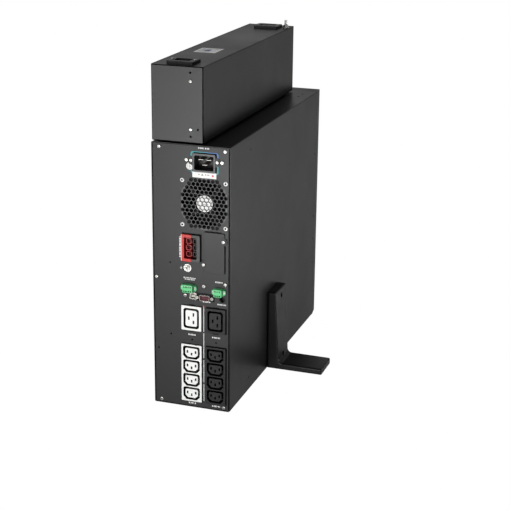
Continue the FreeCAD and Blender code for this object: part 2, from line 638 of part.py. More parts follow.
def card_slot_cover():
    """Blanking plate of the communication card slot, with one ear for each of its two screws."""
    x0, x1 = CARD_COVER_X
    z0, z1 = CARD_COVER_Z
    y0 = PANEL_FACE - CARD_COVER_THICKNESS
    y1 = PANEL_FACE - 0.05
    middle = ((x0 + x1) / 2, (z0 + z1) / 2)
    plate = slab(rounded(*middle, x1 - x0, z1 - z0, 1.5), y0, y1)
    ears = [rod((x, y0, z), 6.0, y1 - y0, (0, 1, 0)) for x, z in CARD_COVER_SCREWS]
    plate = joined([plate] + ears)
    rim = edges_where(plate, lambda e: e.BoundBox.YMax < y0 + 0.01)
    plate = plate.makeFillet(0.5, rim)
    holes = [rod((x, y0 - 1, z), 1.7, 5, (0, 1, 0)) for x, z in CARD_COVER_SCREWS]
    return plate.cut(holes)


TERMINAL_POLES = {"left": 4, "right": 3}
TERMINAL_PITCH = 3.7
CLAMP_RISE = 2.8                         # height of the clamp screws above the plug's middle
PLUG_EAR_INSET = 1.2
PLUG_LENGTH = 9.5
SIGNAL_TERMINALS = {"left": TERMINAL_LEFT, "right": TERMINAL_RIGHT}


def terminal_header(side):
    """Header of a pluggable terminal on its board, open towards the rear, with its pins."""
    x, z = SIGNAL_TERMINALS[side]
    w, h = TERMINAL_OPENINGS[side]
    shell = slab(rounded(x, z, w, h, 0.4), PANEL_FACE - 0.4, PANEL_FACE + 12)
    shell = shell.cut(slab(rounded(x, z, w - 2, h - 2, 0.3), PANEL_FACE - 2, PANEL_FACE + 10))
    pins = []
    count = TERMINAL_POLES[side]
    for i in range(count):
        px = x + (i - (count - 1) / 2) * TERMINAL_PITCH
        pins.append(box(px - 0.5, px + 0.5, PANEL_FACE + 1, PANEL_FACE + 11, z - 0.5, z + 0.5))
    return joined([shell] + pins)


def terminal_plug(side):
    """Pluggable screw terminal with wire funnels below, screw wells above and a flange at each end."""
    x, z = SIGNAL_TERMINALS[side]
    w, h = TERMINAL_OPENINGS[side]
    count = TERMINAL_POLES[side]
    y0 = PANEL_FACE - PLUG_LENGTH
    seat_y = PANEL_FACE - 0.8
    half = (w - 7.0) / 2
    body = slab([(x - half, z - 6.6, 0.8), (x + half, z - 6.6, 0.8), (x + half, z + 4.6, 0.6),
                 (x + half - 1.5, z + 6.0, 0.6), (x - half + 1.5, z + 6.0, 0.6),
                 (x - half, z + 4.6, 0.6)], y0, seat_y)
    front_rim = edges_where(body, lambda e: e.BoundBox.YMax < y0 + 0.01)
    body = body.makeFillet(0.5, front_rim)
    flange = slab(rounded(x, z - 0.6, w + 3.0, 8.6, 3.4), y0 + 6.0, seat_y)
    nose = slab(rounded(x, z, w - 2.6, h - 2.6, 0.3), seat_y - 0.4, PANEL_FACE + 6.5)
    plug = joined([body, flange, nose])
    cuts = []
    for i in range(count):
        px = x + (i - (count - 1) / 2) * TERMINAL_PITCH
        cuts.append(box(px - 1.2, px + 1.2, y0 - 1, y0 + 6.5, z - 5.6, z - 3.2))
        cuts.append(rod((px, y0 - 1, z + CLAMP_RISE), 1.3, 6, (0, 1, 0)))
        cuts.append(box(px - 0.9, px + 0.9, PANEL_FACE - 3, PANEL_FACE + 8, z - 0.9, z + 0.9))
    for ear in (-1, 1):
        cuts.append(rod((x + ear * (w / 2 - PLUG_EAR_INSET), y0 + 5, z - 0.6), 1.9, 2.6, (0, 1, 0)))
    return plug.cut(cuts)


def terminal_plug_screws(side):
    """Clamp screws in the plug's wells and the two flange screws."""
    x, z = SIGNAL_TERMINALS[side]
    w = TERMINAL_OPENINGS[side][0]
    count = TERMINAL_POLES[side]
    y0 = PANEL_FACE - PLUG_LENGTH
    screws = []
    for i in range(count):
        px = x + (i - (count - 1) / 2) * TERMINAL_PITCH
        clamp_z = z + CLAMP_RISE
        head = rod((px, y0 + 1.6, clamp_z), 1.2, 3.3, (0, 1, 0))
        screws.append(head.cut(box(px - 1.3, px + 1.3, y0 + 1, y0 + 2.2, clamp_z - 0.25, clamp_z + 0.25)))
    for ear in (-1, 1):
        ex = x + ear * (w / 2 - PLUG_EAR_INSET)
        head = rod((ex, y0 + 6.2, z - 0.6), 1.8, 1.3, (0, 1, 0))
        screws.append(head.cut(box(ex - 1.9, ex + 1.9, y0 + 5.8, y0 + 6.8, z - 0.9, z - 0.3)))
    return screws


def signal_board():
    """Board behind the signal ports, with the two terminal headers standing on it."""
    y0 = PANEL_BACK + 0.6
    z0 = 184.0
    board = box(-20.0, 60.0, y0, y0 + 86.0, z0, z0 + 1.6)
    legs = [box(-8.4, -4.6, PANEL_FACE + 3, PANEL_FACE + 12, z0 + 1.0, TERMINAL_LEFT[1] - 5.0),
            box(38.5, 44.5, PANEL_FACE + 3, PANEL_FACE + 12, z0 + 1.0, TERMINAL_RIGHT[1] - 5.0)]
    return joined([board, terminal_header("left"), terminal_header("right")] + legs)


def usb_port():
    """Square data port: a folded metal shell round a plastic tongue."""
    x, z = USB_CENTRE
    w, h = USB_SIZE
    y0 = PANEL_FACE - 0.7
    shell = slab(rounded(x, z, w, h, 0.8), y0, PANEL_FACE + 15)
    well = slab([(x - 4.2, z - 3.9, 0.3), (x + 4.2, z - 3.9, 0.3), (x + 4.2, z + 2.4, 0.3),
                 (x + 2.6, z + 3.9, 0.3),
                 (x - 2.6, z + 3.9, 0.3), (x - 4.2, z + 2.4, 0.3)], y0 - 1, PANEL_FACE + 10)
    tongue = box(x - 2.8, x + 2.8, y0 + 1.2, PANEL_FACE + 11, z - 1.5, z + 1.5)
    return shell.cut(well).fuse(tongue).removeSplitter()


def serial_corners(x, z, width, height, radius):
    """The D outline of a nine-pin port, wider at the top."""
    lean = 1.1
    w = width / 2
    h = height / 2
    return [(x - w + lean, z - h, radius), (x + w - lean, z - h, radius), (x + w, z + h, radius),
            (x - w, z + h, radius)]


def serial_shell():
    """Plated flange and D-shaped shell of the nine-pin port."""
    x, z = SERIAL_CENTRE
    flange = slab(rounded(x, z, 30.4, 12.6, 1.0), PANEL_FACE - 0.9, PANEL_FACE - 0.05)
    shell = slab(serial_corners(x, z, 18.0, 9.6, 2.4), PANEL_FACE - 6.0, PANEL_FACE - 0.5)
    outline_of_body = rounded(x, z, SERIAL_SHELL[0] - 0.4, SERIAL_SHELL[1] - 0.4, 2.0)
    body = slab(outline_of_body, PANEL_FACE - 0.5, PANEL_FACE + 9)
    port = joined([flange, shell, body])
    well = slab(serial_corners(x, z, 16.8, 8.4, 1.9), PANEL_FACE - 7, PANEL_FACE + 6)
    holes = [rod((x + s * SERIAL_JACK_PITCH / 2, PANEL_FACE - 3, z), 1.7, 6, (0, 1, 0)) for s in (-1, 1)]
    return port.cut([well] + holes)


def serial_insert():
    """Black insulator of the nine-pin port with its two rows of pins."""
    x, z = SERIAL_CENTRE
    insert = slab(serial_corners(x, z, 16.5, 8.1, 1.8), PANEL_FACE - 0.5, PANEL_FACE + 5.5)
    pins = []
    for count, dz in ((5, 1.42), (4, -1.42)):
        for i in range(count):
            px = x + (i - (count - 1) / 2) * 2.77
            pins.append(rod((px, PANEL_FACE - 5.0, z + dz), 0.5, 6, (0, 1, 0)))
    return joined([insert] + pins)


def serial_jack_screws():
    """Two hexagon jack posts beside the nine-pin port."""
    x, z = SERIAL_CENTRE
    posts = []
    for side in (-1, 1):
        px = x + side * SERIAL_JACK_PITCH / 2
        post = slab(hexagon(px, z, 4.8), PANEL_FACE - 5.4, PANEL_FACE - 0.92)
        shank = rod((px, PANEL_FACE - 1.2, z), 1.45, 7, (0, 1, 0))
        post = joined([post, shank])
        posts.append(post.cut(rod((px, PANEL_FACE - 7, z), 1.3, 5, (0, 1, 0))))
    return group(posts)


def phone_jack():
    """Six-way modular jack for battery detection, with its latch notch and contact wires."""
    x, z = PHONE_JACK_CENTRE
    w, h = PHONE_JACK_SIZE
    y0 = PANEL_FACE - 0.7
    body = slab(rounded(x, z, w, h, 0.6), y0, PANEL_FACE + 14)
    well = [slab(rounded(x, z + 0.8, 9.8, 6.8, 0.3), y0 - 1, PANEL_FACE + 10),
            box(x - 3.0, x + 3.0, y0 - 1, PANEL_FACE + 8, z - 4.6, z - 2),
            box(x - 1.6, x + 1.6, y0 - 1, PANEL_FACE + 7, z - 5.6, z - 4)]
    body = body.cut(well)
    wires = [box(x + i * 1.1 - 0.2, x + i * 1.1 + 0.2, y0 + 3, PANEL_FACE + 10.5, z + 3.2, z + 3.7)
             for i in range(-2, 3)]
    wire_bar = box(x - 4.9, x + 4.9, PANEL_FACE + 9.5, PANEL_FACE + 11, z, z + 4.3)
    return joined([body, wire_bar] + wires)


# ---------------------------------------------------------------- side feet
FOOT_THICKNESS = 11.0
FOOT_TOP_WIDTH = 15.0
FOOT_ROOT_WIDTH = 21.0


def stand_foot(side):
    """L-shaped foot screwed to one side of the casing: 1 is the right side, -1 the left."""
    wall = RIGHT + 0.05
    corners = [(wall, 0, 0.4), (wall + FOOT_REACH, 0, 1.6), (wall + FOOT_REACH, FOOT_THICKNESS, 2.2),
               (wall + FOOT_ROOT_WIDTH, FOOT_THICKNESS + 0.6, 8.0), (wall + FOOT_TOP_WIDTH, FOOT_HEIGHT, 2.0),
               (wall, FOOT_HEIGHT, 0.4)]
    y0 = FOOT_Y - FOOT_WIDTH / 2
    foot = slab(corners, y0, y0 + FOOT_WIDTH)
    tip = edges_where(foot, lambda e: runs_along(e, "z", 3) and e.BoundBox.XMax > wall + FOOT_REACH - 1)
    foot = foot.makeFillet(3.0, tip)
    holes = []
    for z in FOOT_SCREW_Z:
        holes.append(rod((wall - 1, FOOT_Y, z), 2.2, 40, (1, 0, 0)))
        holes.append(rod((wall + 7.0, FOOT_Y, z), 4.6, 40, (1, 0, 0)))
    foot = foot.cut(holes)
    if side < 0:
        foot.rotate(Vector(0, 0, 0), Vector(0, 0, 1), 180)
    return foot


def foot_screws():
    screws = []
    for side in (-1, 1):
        for z in FOOT_SCREW_Z:
            place = (side * (RIGHT + 7.07), side * FOOT_Y, z)
            screws.append(pan_screw(place, (side, 0, 0), 3.9, 2.6, 1.9, 12.0))
    return group(screws)


# ---------------------------------------------------------------- line filter module on top
MODULE_LEFT = LEFT + 0.8
MODULE_RIGHT = MODULE_LEFT + MODULE_WIDTH
MODULE_REAR = REAR + 1.0
MODULE_FRONT = MODULE_REAR + MODULE_LENGTH
MODULE_FLOOR = BODY_HEIGHT + MODULE_PAD
MODULE_TOP = MODULE_FLOOR + MODULE_HEIGHT
LID_GAP = 0.8                            # seam round the module's lid
LID_DROP = 0.2                           # how far the lid lies below the case's edge
MODULE_SCREWS = [(0.2, 95.4), (0.4, 21.2)]
MODULE_HOLES = [(0.0, 108.3), (0.0, 10.2), (12.0, 21.8)]
MODULE_INLET = (-22.0, -222.0)
MODULE_OUTLET = (-18.0, 178.0)
MODULE_STUD = (13.6, 184.0)
SOCKET_FLANGE = (44.0, 34.0)


def module_case():
    """Folded steel box of the filter module, open at the top, with a seat for its lid."""
    case = box(MODULE_LEFT, MODULE_RIGHT, MODULE_REAR, MODULE_FRONT, MODULE_FLOOR, MODULE_TOP)
    folds = edges_where(case, lambda e: not (e.BoundBox.ZMin > MODULE_TOP - 1))
    case = case.makeFillet(BEND, folds)
    hollow = box(MODULE_LEFT + SHEET, MODULE_RIGHT - SHEET, MODULE_REAR + SHEET, MODULE_FRONT - SHEET,
                 MODULE_FLOOR + SHEET, MODULE_TOP + 1)
    case = case.cut(hollow)
    holes = []
    for x, dz in MODULE_SCREWS + MODULE_HOLES:
        holes.append(rod((x, MODULE_REAR - 1, MODULE_FLOOR + dz), 1.7, 4, (0, 1, 0)))
    for x in (-45.0, 5.0):
        for dz in (20.0, 98.0):
            holes.append(rod((x, MODULE_FRONT - 3, MODULE_FLOOR + dz), 1.7, 4, (0, 1, 0)))
    return case.cut(holes)


def module_lid():
    """Top plate of the filter module, let into the case, with both socket cut-outs and folded edges."""
    x0 = MODULE_LEFT + SHEET + LID_GAP
    x1 = MODULE_RIGHT - SHEET - LID_GAP
    y0 = MODULE_REAR + SHEET + LID_GAP
    y1 = MODULE_FRONT - SHEET - LID_GAP
    lid = box(x0, x1, y0, y1, MODULE_TOP - SHEET - LID_DROP, MODULE_TOP - LID_DROP)
    lips = [box(x0, x0 + SHEET, y0 + 12, y1 - 12, MODULE_TOP - 10, MODULE_TOP - 0.6),
            box(x1 - SHEET, x1, y0 + 12, y1 - 12, MODULE_TOP - 10, MODULE_TOP - 0.6)]
    reach = LID_GAP - 0.02
    for y in (y0 + 60, (y0 + y1) / 2, y1 - 60):
        lips.append(rod((x0 - reach, y, MODULE_TOP - 7), 2.5, reach + 0.5, (1, 0, 0)))
        lips.append(rod((x1 - 0.5, y, MODULE_TOP - 7), 2.5, reach + 0.5, (1, 0, 0)))
    lid = joined([lid] + lips)
    cuts = []
    for x, y in (MODULE_INLET, MODULE_OUTLET):
        cuts.append(box(x - 15.2, x + 15.2, y - 12.2, y + 12.2, MODULE_TOP - 5, MODULE_TOP + 5))
        for side in (-1, 1):
            cuts.append(rod((x + side * 18.4, y, MODULE_TOP - 5), 1.6, 10, (0, 0, 1)))
    cuts.append(rod((*MODULE_STUD, MODULE_TOP - 5), 2.7, 10, (0, 0, 1)))
    return lid.cut(cuts)


def turned_up(shape, x, y):
    """Moves a socket built about the origin, facing -Y, so that it faces up at (x, y) on the module's lid."""
    shape.rotate(Vector(0, 0, 0), Vector(1, 0, 0), -90)
    shape.translate(Vector(x, y, MODULE_TOP - 0.18))
    return shape


MODULE_SOCKET_FLANGE = 4.6


def module_inlet():
    """16 A inlet of the filter module, facing up, its pins in one moulding."""
    flange = slab(rounded(0, 0, *SOCKET_FLANGE, 2.5), -MODULE_SOCKET_FLANGE, 0)
    rim = edges_where(flange, lambda e: e.BoundBox.YMax < -MODULE_SOCKET_FLANGE + 0.01)
    flange = flange.makeFillet(1.2, rim)
    body = joined([flange, slab(rounded(0, 0, 29.6, 23.6, 1.5), -0.5, 24)])
    well = slab(rounded(0, 0, 27.0, 19.4, 2.4), -MODULE_SOCKET_FLANGE - 1, 16)
    holes = [rod((side * 18.4, -MODULE_SOCKET_FLANGE - 1, 0), 1.5, 12, (0, 1, 0)) for side in (-1, 1)]
    body = body.cut([well] + holes)
    places = ((-6.5, 3.8), (6.5, 3.8), (0, -4.0))
    pins = [box(dx - 3.6, dx + 3.6, 0.4, 20, dz - 1, dz + 1) for dx, dz in places]
    return turned_up(joined([body] + pins), *MODULE_INLET)


def module_outlet():
    """16 A outlet of the filter module, facing up."""
    flange = slab(rounded(0, 0, *SOCKET_FLANGE, 2.5), -MODULE_SOCKET_FLANGE, 0)
    rim = edges_where(flange, lambda e: e.BoundBox.YMax < -MODULE_SOCKET_FLANGE + 0.01)
    flange = flange.makeFillet(1.2, rim)
    body = joined([flange, slab(rounded(0, 0, 29.6, 23.6, 1.5), -0.5, 24)])
    holes = [rod((side * 18.4, -MODULE_SOCKET_FLANGE - 1, 0), 1.5, 12, (0, 1, 0)) for side in (-1, 1)]
    body = body.cut([slab(rounded(0, 0, 27.0, 20.0, 3.0), -MODULE_SOCKET_FLANGE - 1, 15)] + holes)
    core = slab(rounded(0, 0, 22.0, 15.0, 2.4), -MODULE_SOCKET_FLANGE + 0.6, 15.5)
    slots = [box(dx - 2.9, dx + 2.9, -MODULE_SOCKET_FLANGE - 1, 12, dz - 1.1, dz + 1.1)
             for dx, dz in ((-6.2, 2.6), (6.2, 2.6), (0, -3.0))]
    return turned_up(body.fuse(core).removeSplitter().cut(slots), *MODULE_OUTLET)


def module_screws():
    """Screws of the module's rear face and of both of its sockets."""
    screws = [pan_screw((x, MODULE_REAR - 0.02, MODULE_FLOOR + dz), REARWARD, 2.5, 1.5, 1.45, 6)
              for x, dz in MODULE_SCREWS]
    for x, y in (MODULE_INLET, MODULE_OUTLET):
        for side in (-1, 1):
            top = MODULE_TOP - 0.18 + MODULE_SOCKET_FLANGE + 0.02
            screws.append(pan_screw((x + side * 18.4, y, top), (0, 0, 1), 2.5, 1.3, 1.35, 8))
    return group(screws)


def module_earth_stud():
    """Earth stud on the lid with washer and hexagon nut."""
    x, y = MODULE_STUD
    washer = rod((x, y, MODULE_TOP - 0.18), 6.0, 1.2, (0, 0, 1))
    nut = slab(hexagon(0, 0, 8.0), 0, 4.2)
    nut.rotate(Vector(0, 0, 0), Vector(1, 0, 0), 90)
    nut.translate(Vector(x, y, MODULE_TOP + 1.0))
    stud = rod((x, y, MODULE_TOP - 10), 2.45, 23.5, (0, 0, 1))
    return joined([washer, nut, stud])


def module_pads():
    """Four rubber pads under the module."""
    pads = []
    for x in (MODULE_LEFT + 12, MODULE_RIGHT - 12):
        for y in (MODULE_REAR + 30, MODULE_FRONT - 30):
            pads.append(rod((x, y, BODY_HEIGHT), 7.0, MODULE_PAD, (0, 0, 1)))
    return group(pads)


def filter_board():
    """Circuit board of the filter on four stand-offs, with its four boxed suppression capacitors."""
    x0 = MODULE_LEFT + 8
    x1 = MODULE_RIGHT - 8
    board = box(x0, x1, -170, 130, MODULE_FLOOR + 9, MODULE_FLOOR + 10.6)
    boxes = [box(x0 + 14, x1 - 14, y, y + 12, MODULE_FLOOR + 10, MODULE_FLOOR + 32)
             for y in (-62, -46, 58, 74)]
    posts = [rod((x, y, MODULE_FLOOR + SHEET + 0.02), 3.0, 8.0, (0, 0, 1))
             for x in (x0 + 5, x1 - 5) for y in (-164, 124)]
    return joined([board] + boxes + posts)


def filter_chokes():
    """Two wound ring cores of the filter, standing on the board."""
    chokes = []
    for y in (-110.0, 10.0):
        centre = Vector((MODULE_LEFT + MODULE_RIGHT) / 2, y, MODULE_FLOOR + 10.7)
        ring = Part.makeCylinder(30, 26, centre)
        ring = ring.cut(Part.makeCylinder(13, 30, centre - Vector(0, 0, 1)))
        chokes.append(ring.makeFillet(5.0, ring.Edges))
    return group(chokes)


# ---------------------------------------------------------------- inside the casing
def bay_walls():
    """Folded plate between battery bay and electronics: roof and rear wall with a plug opening."""
    roof = box(INNER_LEFT + 0.3, INNER_RIGHT - 0.3, BAY_REAR, CASE_FRONT - 3.2, BAY_TOP, BAY_TOP + SHEET)
    wall = box(INNER_LEFT + 0.3, INNER_RIGHT - 0.3, BAY_REAR, BAY_REAR + SHEET, 3.0, BAY_TOP + SHEET)
    plate = joined([roof, wall])
    return plate.cut(box(-19, 19, BAY_REAR - 1, BAY_REAR + 3, PLUG_Z - 19, PLUG_Z + 19))


PLUG_Z = 100.0                           # height of the tray's power plug


def battery_tray():
    """Open steel drawer for the battery blocks, with low side walls."""
    z0, z1 = TRAY_Z
    y0, y1 = TRAY_Y
    floor = box(-TRAY_X, TRAY_X, y0, y1, z0, z0 + SHEET)
    sides = [box(-TRAY_X, -TRAY_X + SHEET, y0, y1, z0, z0 + 70),
             box(TRAY_X - SHEET, TRAY_X, y0, y1, z0, z0 + 70)]
    ends = [box(-TRAY_X, TRAY_X, y0, y0 + SHEET, z0, z1), box(-TRAY_X, TRAY_X, y1 - SHEET, y1, z0, z1)]
    tray = joined([floor] + sides + ends)
    return tray.cut(box(-14, 14, y0 - 1, y0 + 3, PLUG_Z - 14, PLUG_Z + 14))


def battery_blocks():
    """Six sealed lead-acid blocks, three layers of two."""
    blocks = []
    width, length, height = BLOCK
    for column in range(2):
        for layer in range(3):
            y = TRAY_Y[0] + SHEET + 0.4 + column * (length + 0.4)
            z = TRAY_Z[0] + SHEET + 0.2 + layer * (height + 0.4)
            block = box(-50.0, -50.0 + width, y, y + length, z, z + height)
            blocks.append(block.makeFillet(1.0, edges_where(block, lambda e: runs_along(e, "x", 50))))
    return group(blocks)


def block_terminal_places():
    """(y, z) of the two tab terminals of each block."""
    places = []
    width, length, height = BLOCK
    for column in range(2):
        for layer in range(3):
            y = TRAY_Y[0] + SHEET + 0.4 + column * (length + 0.4)
            z = TRAY_Z[0] + SHEET + 0.2 + layer * (height + 0.4) + height / 2
            places.append([(y + 14, z + 20), (y + length - 14, z + 20)])
    return places


def battery_links():
    """Tab terminals of the blocks and the insulated jumpers that join them in series."""
    x = -50.0 + BLOCK[0]
    places = block_terminal_places()
    links = [box(x + 0.02, x + 5.0, y - 3.2, y + 3.2, z - 0.4, z + 0.4) for pair in places for y, z in pair]
    for first, second in ((0, 1), (1, 2), (3, 4), (4, 5)):
        y = places[first][first % 2][0]
        z0 = places[first][0][1] + 0.42
        z1 = places[second][0][1] - 0.42
        links.append(box(x + 1.5, x + 5.5, y - 3.2, y + 3.2, z0, z1))
    y0 = places[2][1][0] + 3.22
    y1 = places[5][0][0] - 3.22
    z = places[2][0][1]
    links.append(box(x + 1.5, x + 5.5, y0, y1, z - 4, z + 4))
    return group(links)


def tray_plug():
    """Two-pole power plug in the battery tray's rear wall."""
    y0 = TRAY_Y[0]
    body = box(-13, 13, y0 - 9, y0 + 1.2, PLUG_Z - 13, PLUG_Z + 13)
    flange = box(-16, 16, y0 - 1.42, y0 - 0.02, PLUG_Z - 16, PLUG_Z + 16)
    holes = [rod((x, y0 - 12, PLUG_Z), 4.0, 12.5, (0, 1, 0)) for x in (-6.5, 6.5)]
    return joined([body, flange]).cut(holes)


def bay_socket():
    """Fixed socket in the bay's rear wall, with two pins for the tray's plug."""
    y0 = TRAY_Y[0] - 9.6
    body = box(-18, 18, y0 - 14, BAY_REAR - 0.02, PLUG_Z - 18, PLUG_Z + 18)
    flange = box(-24, 24, BAY_REAR - 2.0, BAY_REAR - 0.02, PLUG_Z - 24, PLUG_Z + 24)
    body = joined([body, flange]).cut(box(-14, 14, y0, BAY_REAR + 1, PLUG_Z - 14, PLUG_Z + 14))
    pins = [rod((x, y0 - 1, PLUG_Z), 3.4, 8.5, (0, 1, 0)) for x in (-6.5, 6.5)]
    return joined([body] + pins)


def main_board():
    """Power circuit board standing beside the left wall on stand-offs."""
    board = box(-54.6, -53.0, -205, 205, 220, 430)
    posts = [rod((INNER_LEFT + 0.02, y, z), 3.2, 9.3, (1, 0, 0)) for y in (-196, 196) for z in (228, 422)]
    return joined([board] + posts)


def heat_sinks():
    """Two finned aluminium heat sinks on the power board."""
    sinks = []
    for z in (250.0, 372.0):
        base = box(-52.9, -46.9, -150, 120, z, z + 46)
        fins = [box(-47, -18, -150, 120, z + 1 + 7.1 * i, z + 3.4 + 7.1 * i) for i in range(7)]
        sinks.append(joined([base] + fins))
    return group(sinks)


def bulk_capacitors():
    """Row of six bulk capacitors on the power board."""
    cans = []
    for i in range(6):
        can = rod((-52.9, 140 - 34 * i, 334), 15.0, 42, (1, 0, 0))
        cans.append(can.makeFillet(1.5, [can.Edges[0]]))
    return group(cans)


def power_magnetics():
    """Three wound transformers and chokes of the converters."""
    coils = []
    sinks = ((-195.0, 386.0, 36.0, 38.0), (145.0, 386.0, 36.0, 38.0), (145.0, 232.0, 45.0, 50.0))
    for y, z, width, height in sinks:
        core = box(-52.9, -14, y, y + width, z, z + height)
        winding = box(-48.0, -19, y - 7, y + width + 7, z + 9, z + height - 9)
        winding = winding.makeFillet(5.0, edges_where(winding, lambda e: runs_along(e, "x", 5)))
        coils.append(joined([core, winding]))
    return group(coils)


def output_board():
    """Board behind the outlets with its four relays."""
    y0 = PANEL_FACE + 30
    board = box(-22, 60, y0, y0 + 1.6, 8, 182)
    relays = [box(-14 + 18 * i, 0 + 18 * i, y0 + 1.5, y0 + 20, 60, 88) for i in range(4)]
    return joined([board] + relays)


# ---------------------------------------------------------------- front
def vent_cells(x_half, z0, z1, pitch, across, y0, y1):
    """Staggered hexagon air holes that fill a rectangle of the front."""
    cells = []
    row_pitch = pitch * math.sqrt(3) / 2
    rows = int((z1 - z0) / row_pitch)
    for row in range(rows + 1):
        offset = pitch / 2 if row % 2 else 0.0
        columns = int((2 * x_half - offset) / pitch)
        for column in range(columns + 1):
            x = -x_half + offset + column * pitch
            cells.append(slab(hexagon(x, z0 + row * row_pitch, across), y0, y1))
    return cells


BEZEL_WALL = 2.6
BEZEL_FACE = 4.5
BEZEL_EDGE_RADIUS = 3.0
HINGE_PIN_RADIUS = 2.0
HINGE_PIN_REACH = 43.0
POWER_BUTTON_RADIUS = 8.2


def tapered_block(half_width, y0, y1, z0, z1):
    """A block whose sides run straight beside the casing and then lean in towards the bezel's front face."""
    bend_y = CASE_FRONT + BEZEL_STRAIGHT
    front_half = half_width - BEZEL_TAPER * (y1 - bend_y) / (FRONT - bend_y)
    corners = [(-half_width, y0), (half_width, y0), (half_width, bend_y), (front_half, y1), (-front_half, y1),
               (-half_width, bend_y), (-half_width, y0)]
    face = Part.Face(Part.makePolygon([Vector(x, y, z0) for x, y in corners]))
    return face.extrude(Vector(0, 0, z1 - z0))


def front_bezel():
    """Moulded front: side walls, a face with display opening, air holes and battery cover opening."""
    full = tapered_block(RIGHT, CASE_FRONT + 0.1, FRONT, 0, BODY_HEIGHT)
    rim = edges_where(full, lambda e: e.BoundBox.YMin > FRONT - 0.01)
    full = full.makeFillet(BEZEL_EDGE_RADIUS, rim)
    hollow = tapered_block(RIGHT - BEZEL_WALL, CASE_FRONT - 1, FRONT - BEZEL_FACE, BEZEL_WALL,
                           BODY_HEIGHT - BEZEL_WALL)
    shell = full.cut(hollow)
    pan = box(-DISPLAY_X - 7, DISPLAY_X + 7, DISPLAY_Y[0] - 7, FRONT - 4,
              DISPLAY_Z[0] - 4, DISPLAY_Z[1] + 5.5)
    guide = rod((0, FRONT - 17, POWER_BUTTON_Z), POWER_BUTTON_RADIUS + 2.4, 14, (0, 1, 0))
    shell = joined([shell, pan, guide])
    hinge_y, hinge_z = DISPLAY_HINGE
    cuts = [box(-COVER_X, COVER_X, FRONT - 6, FRONT + 1, *COVER_Z)]
    cuts.append(box(-DISPLAY_X - 1.2, DISPLAY_X + 1.2, DISPLAY_Y[0] - 5, FRONT + 1,
                    DISPLAY_Z[0] - 1.6, DISPLAY_Z[1] + 3))
    hinge_bore = HINGE_PIN_REACH + 0.4
    cuts.append(rod((-hinge_bore, hinge_y, hinge_z), HINGE_PIN_RADIUS + 0.05, 2 * hinge_bore, (1, 0, 0)))
    cuts.append(rod((0, FRONT - 20, POWER_BUTTON_Z), POWER_BUTTON_RADIUS + 0.35, 30, (0, 1, 0)))
    cuts += vent_cells(48, 225, 256, 9.0, 7.0, FRONT - 8, FRONT + 1)
    return shell.cut(cuts)


def display_housing():
    """Tilting display head: a shallow case with hinge pins, a window seat and four button holes."""
    y, z = DISPLAY_HINGE
    body = box(-DISPLAY_X, DISPLAY_X, *DISPLAY_Y, *DISPLAY_Z)
    body = body.makeFillet(3.0, edges_where(body, lambda e: e.BoundBox.YMin > DISPLAY_Y[1] - 0.01))
    grip = DISPLAY_X - 4
    pins = [rod((side * grip, y, z), HINGE_PIN_RADIUS, HINGE_PIN_REACH - grip, (side, 0, 0))
            for side in (-1, 1)]
    body = joined([body] + pins)
    window = box(-31, 31, DISPLAY_Y[1] - 2.0, DISPLAY_Y[1] + 1, DISPLAY_Z[0] + 34, DISPLAY_Z[1] - 12)
    cuts = [window]
    for i in range(4):
        bore_start = (nav_button_x(i), DISPLAY_Y[0] + 2, NAV_BUTTON_Z)
        cuts.append(rod(bore_start, NAV_BUTTON_RADIUS + 0.3, 20, (0, 1, 0)))
    return body.cut(cuts)


def display_window():
    """Clear window over the liquid crystal screen."""
    return box(-30.8, 30.8, DISPLAY_Y[1] - 1.9, DISPLAY_Y[1] - 0.3, DISPLAY_Z[0] + 34.2, DISPLAY_Z[1] - 12.2)


NAV_BUTTON_Z = DISPLAY_Z[0] + 15
NAV_BUTTON_RADIUS = 5.0


def nav_button_x(index):
    return (index - 1.5) * BUTTON_PITCH


def nav_button(index):
    """One round menu button, standing a little proud of the display head."""
    y0 = DISPLAY_Y[0] + 4.0
    cap = rod((nav_button_x(index), y0, NAV_BUTTON_Z), NAV_BUTTON_RADIUS, DISPLAY_Y[1] + 1.2 - y0, (0, 1, 0))
    return cap.makeFillet(0.8, edges_where(cap, lambda e: e.BoundBox.YMin > DISPLAY_Y[1]))


def power_button():
    """Round on and off button of the bezel."""
    cap = rod((0, FRONT - 14, POWER_BUTTON_Z), POWER_BUTTON_RADIUS, 15.5, (0, 1, 0))
    return cap.makeFillet(1.2, edges_where(cap, lambda e: e.BoundBox.YMin > FRONT))


GRIP_Z = 182.0
COVER_SKIRT = 9.0                        # depth of the battery cover's edge


def battery_cover():
    """Front cover of the battery bay, fixed to the tray, with air holes and a finger grip."""
    gap = 0.5
    y0 = FRONT - COVER_SKIRT
    z0 = COVER_Z[0] + gap
    z1 = COVER_Z[1] - gap
    w = COVER_X - gap
    body = slab(rounded(0, (z0 + z1) / 2, 2 * w, z1 - z0, 1.0), y0, FRONT)
    rim = edges_where(body, lambda e: e.BoundBox.YMin > FRONT - 0.01)
    body = body.makeFillet(0.8, rim)
    body = body.cut(box(-w + 2.4, w - 2.4, y0 - 1, FRONT - 3, z0 + 2.4, z1 - 2.4))
    pocket_wall = slab(rounded(0, GRIP_Z, 74, 30, 5), FRONT - 22, FRONT - 1)
    body = joined([body, pocket_wall])
    pocket = slab(rounded(0, GRIP_Z, 70, 26, 4), FRONT - 20, FRONT + 1)
    posts = [rod((side * 44, TRAY_Y[1] + 0.02, z), 4.0, FRONT - 2 - TRAY_Y[1], (0, 1, 0))
             for side in (-1, 1) for z in (24.0, 190.0)]
    body = joined([body] + posts)
    return body.cut([pocket] + vent_cells(40, 24, 150, 9.0, 7.0, FRONT - 5, FRONT + 1))


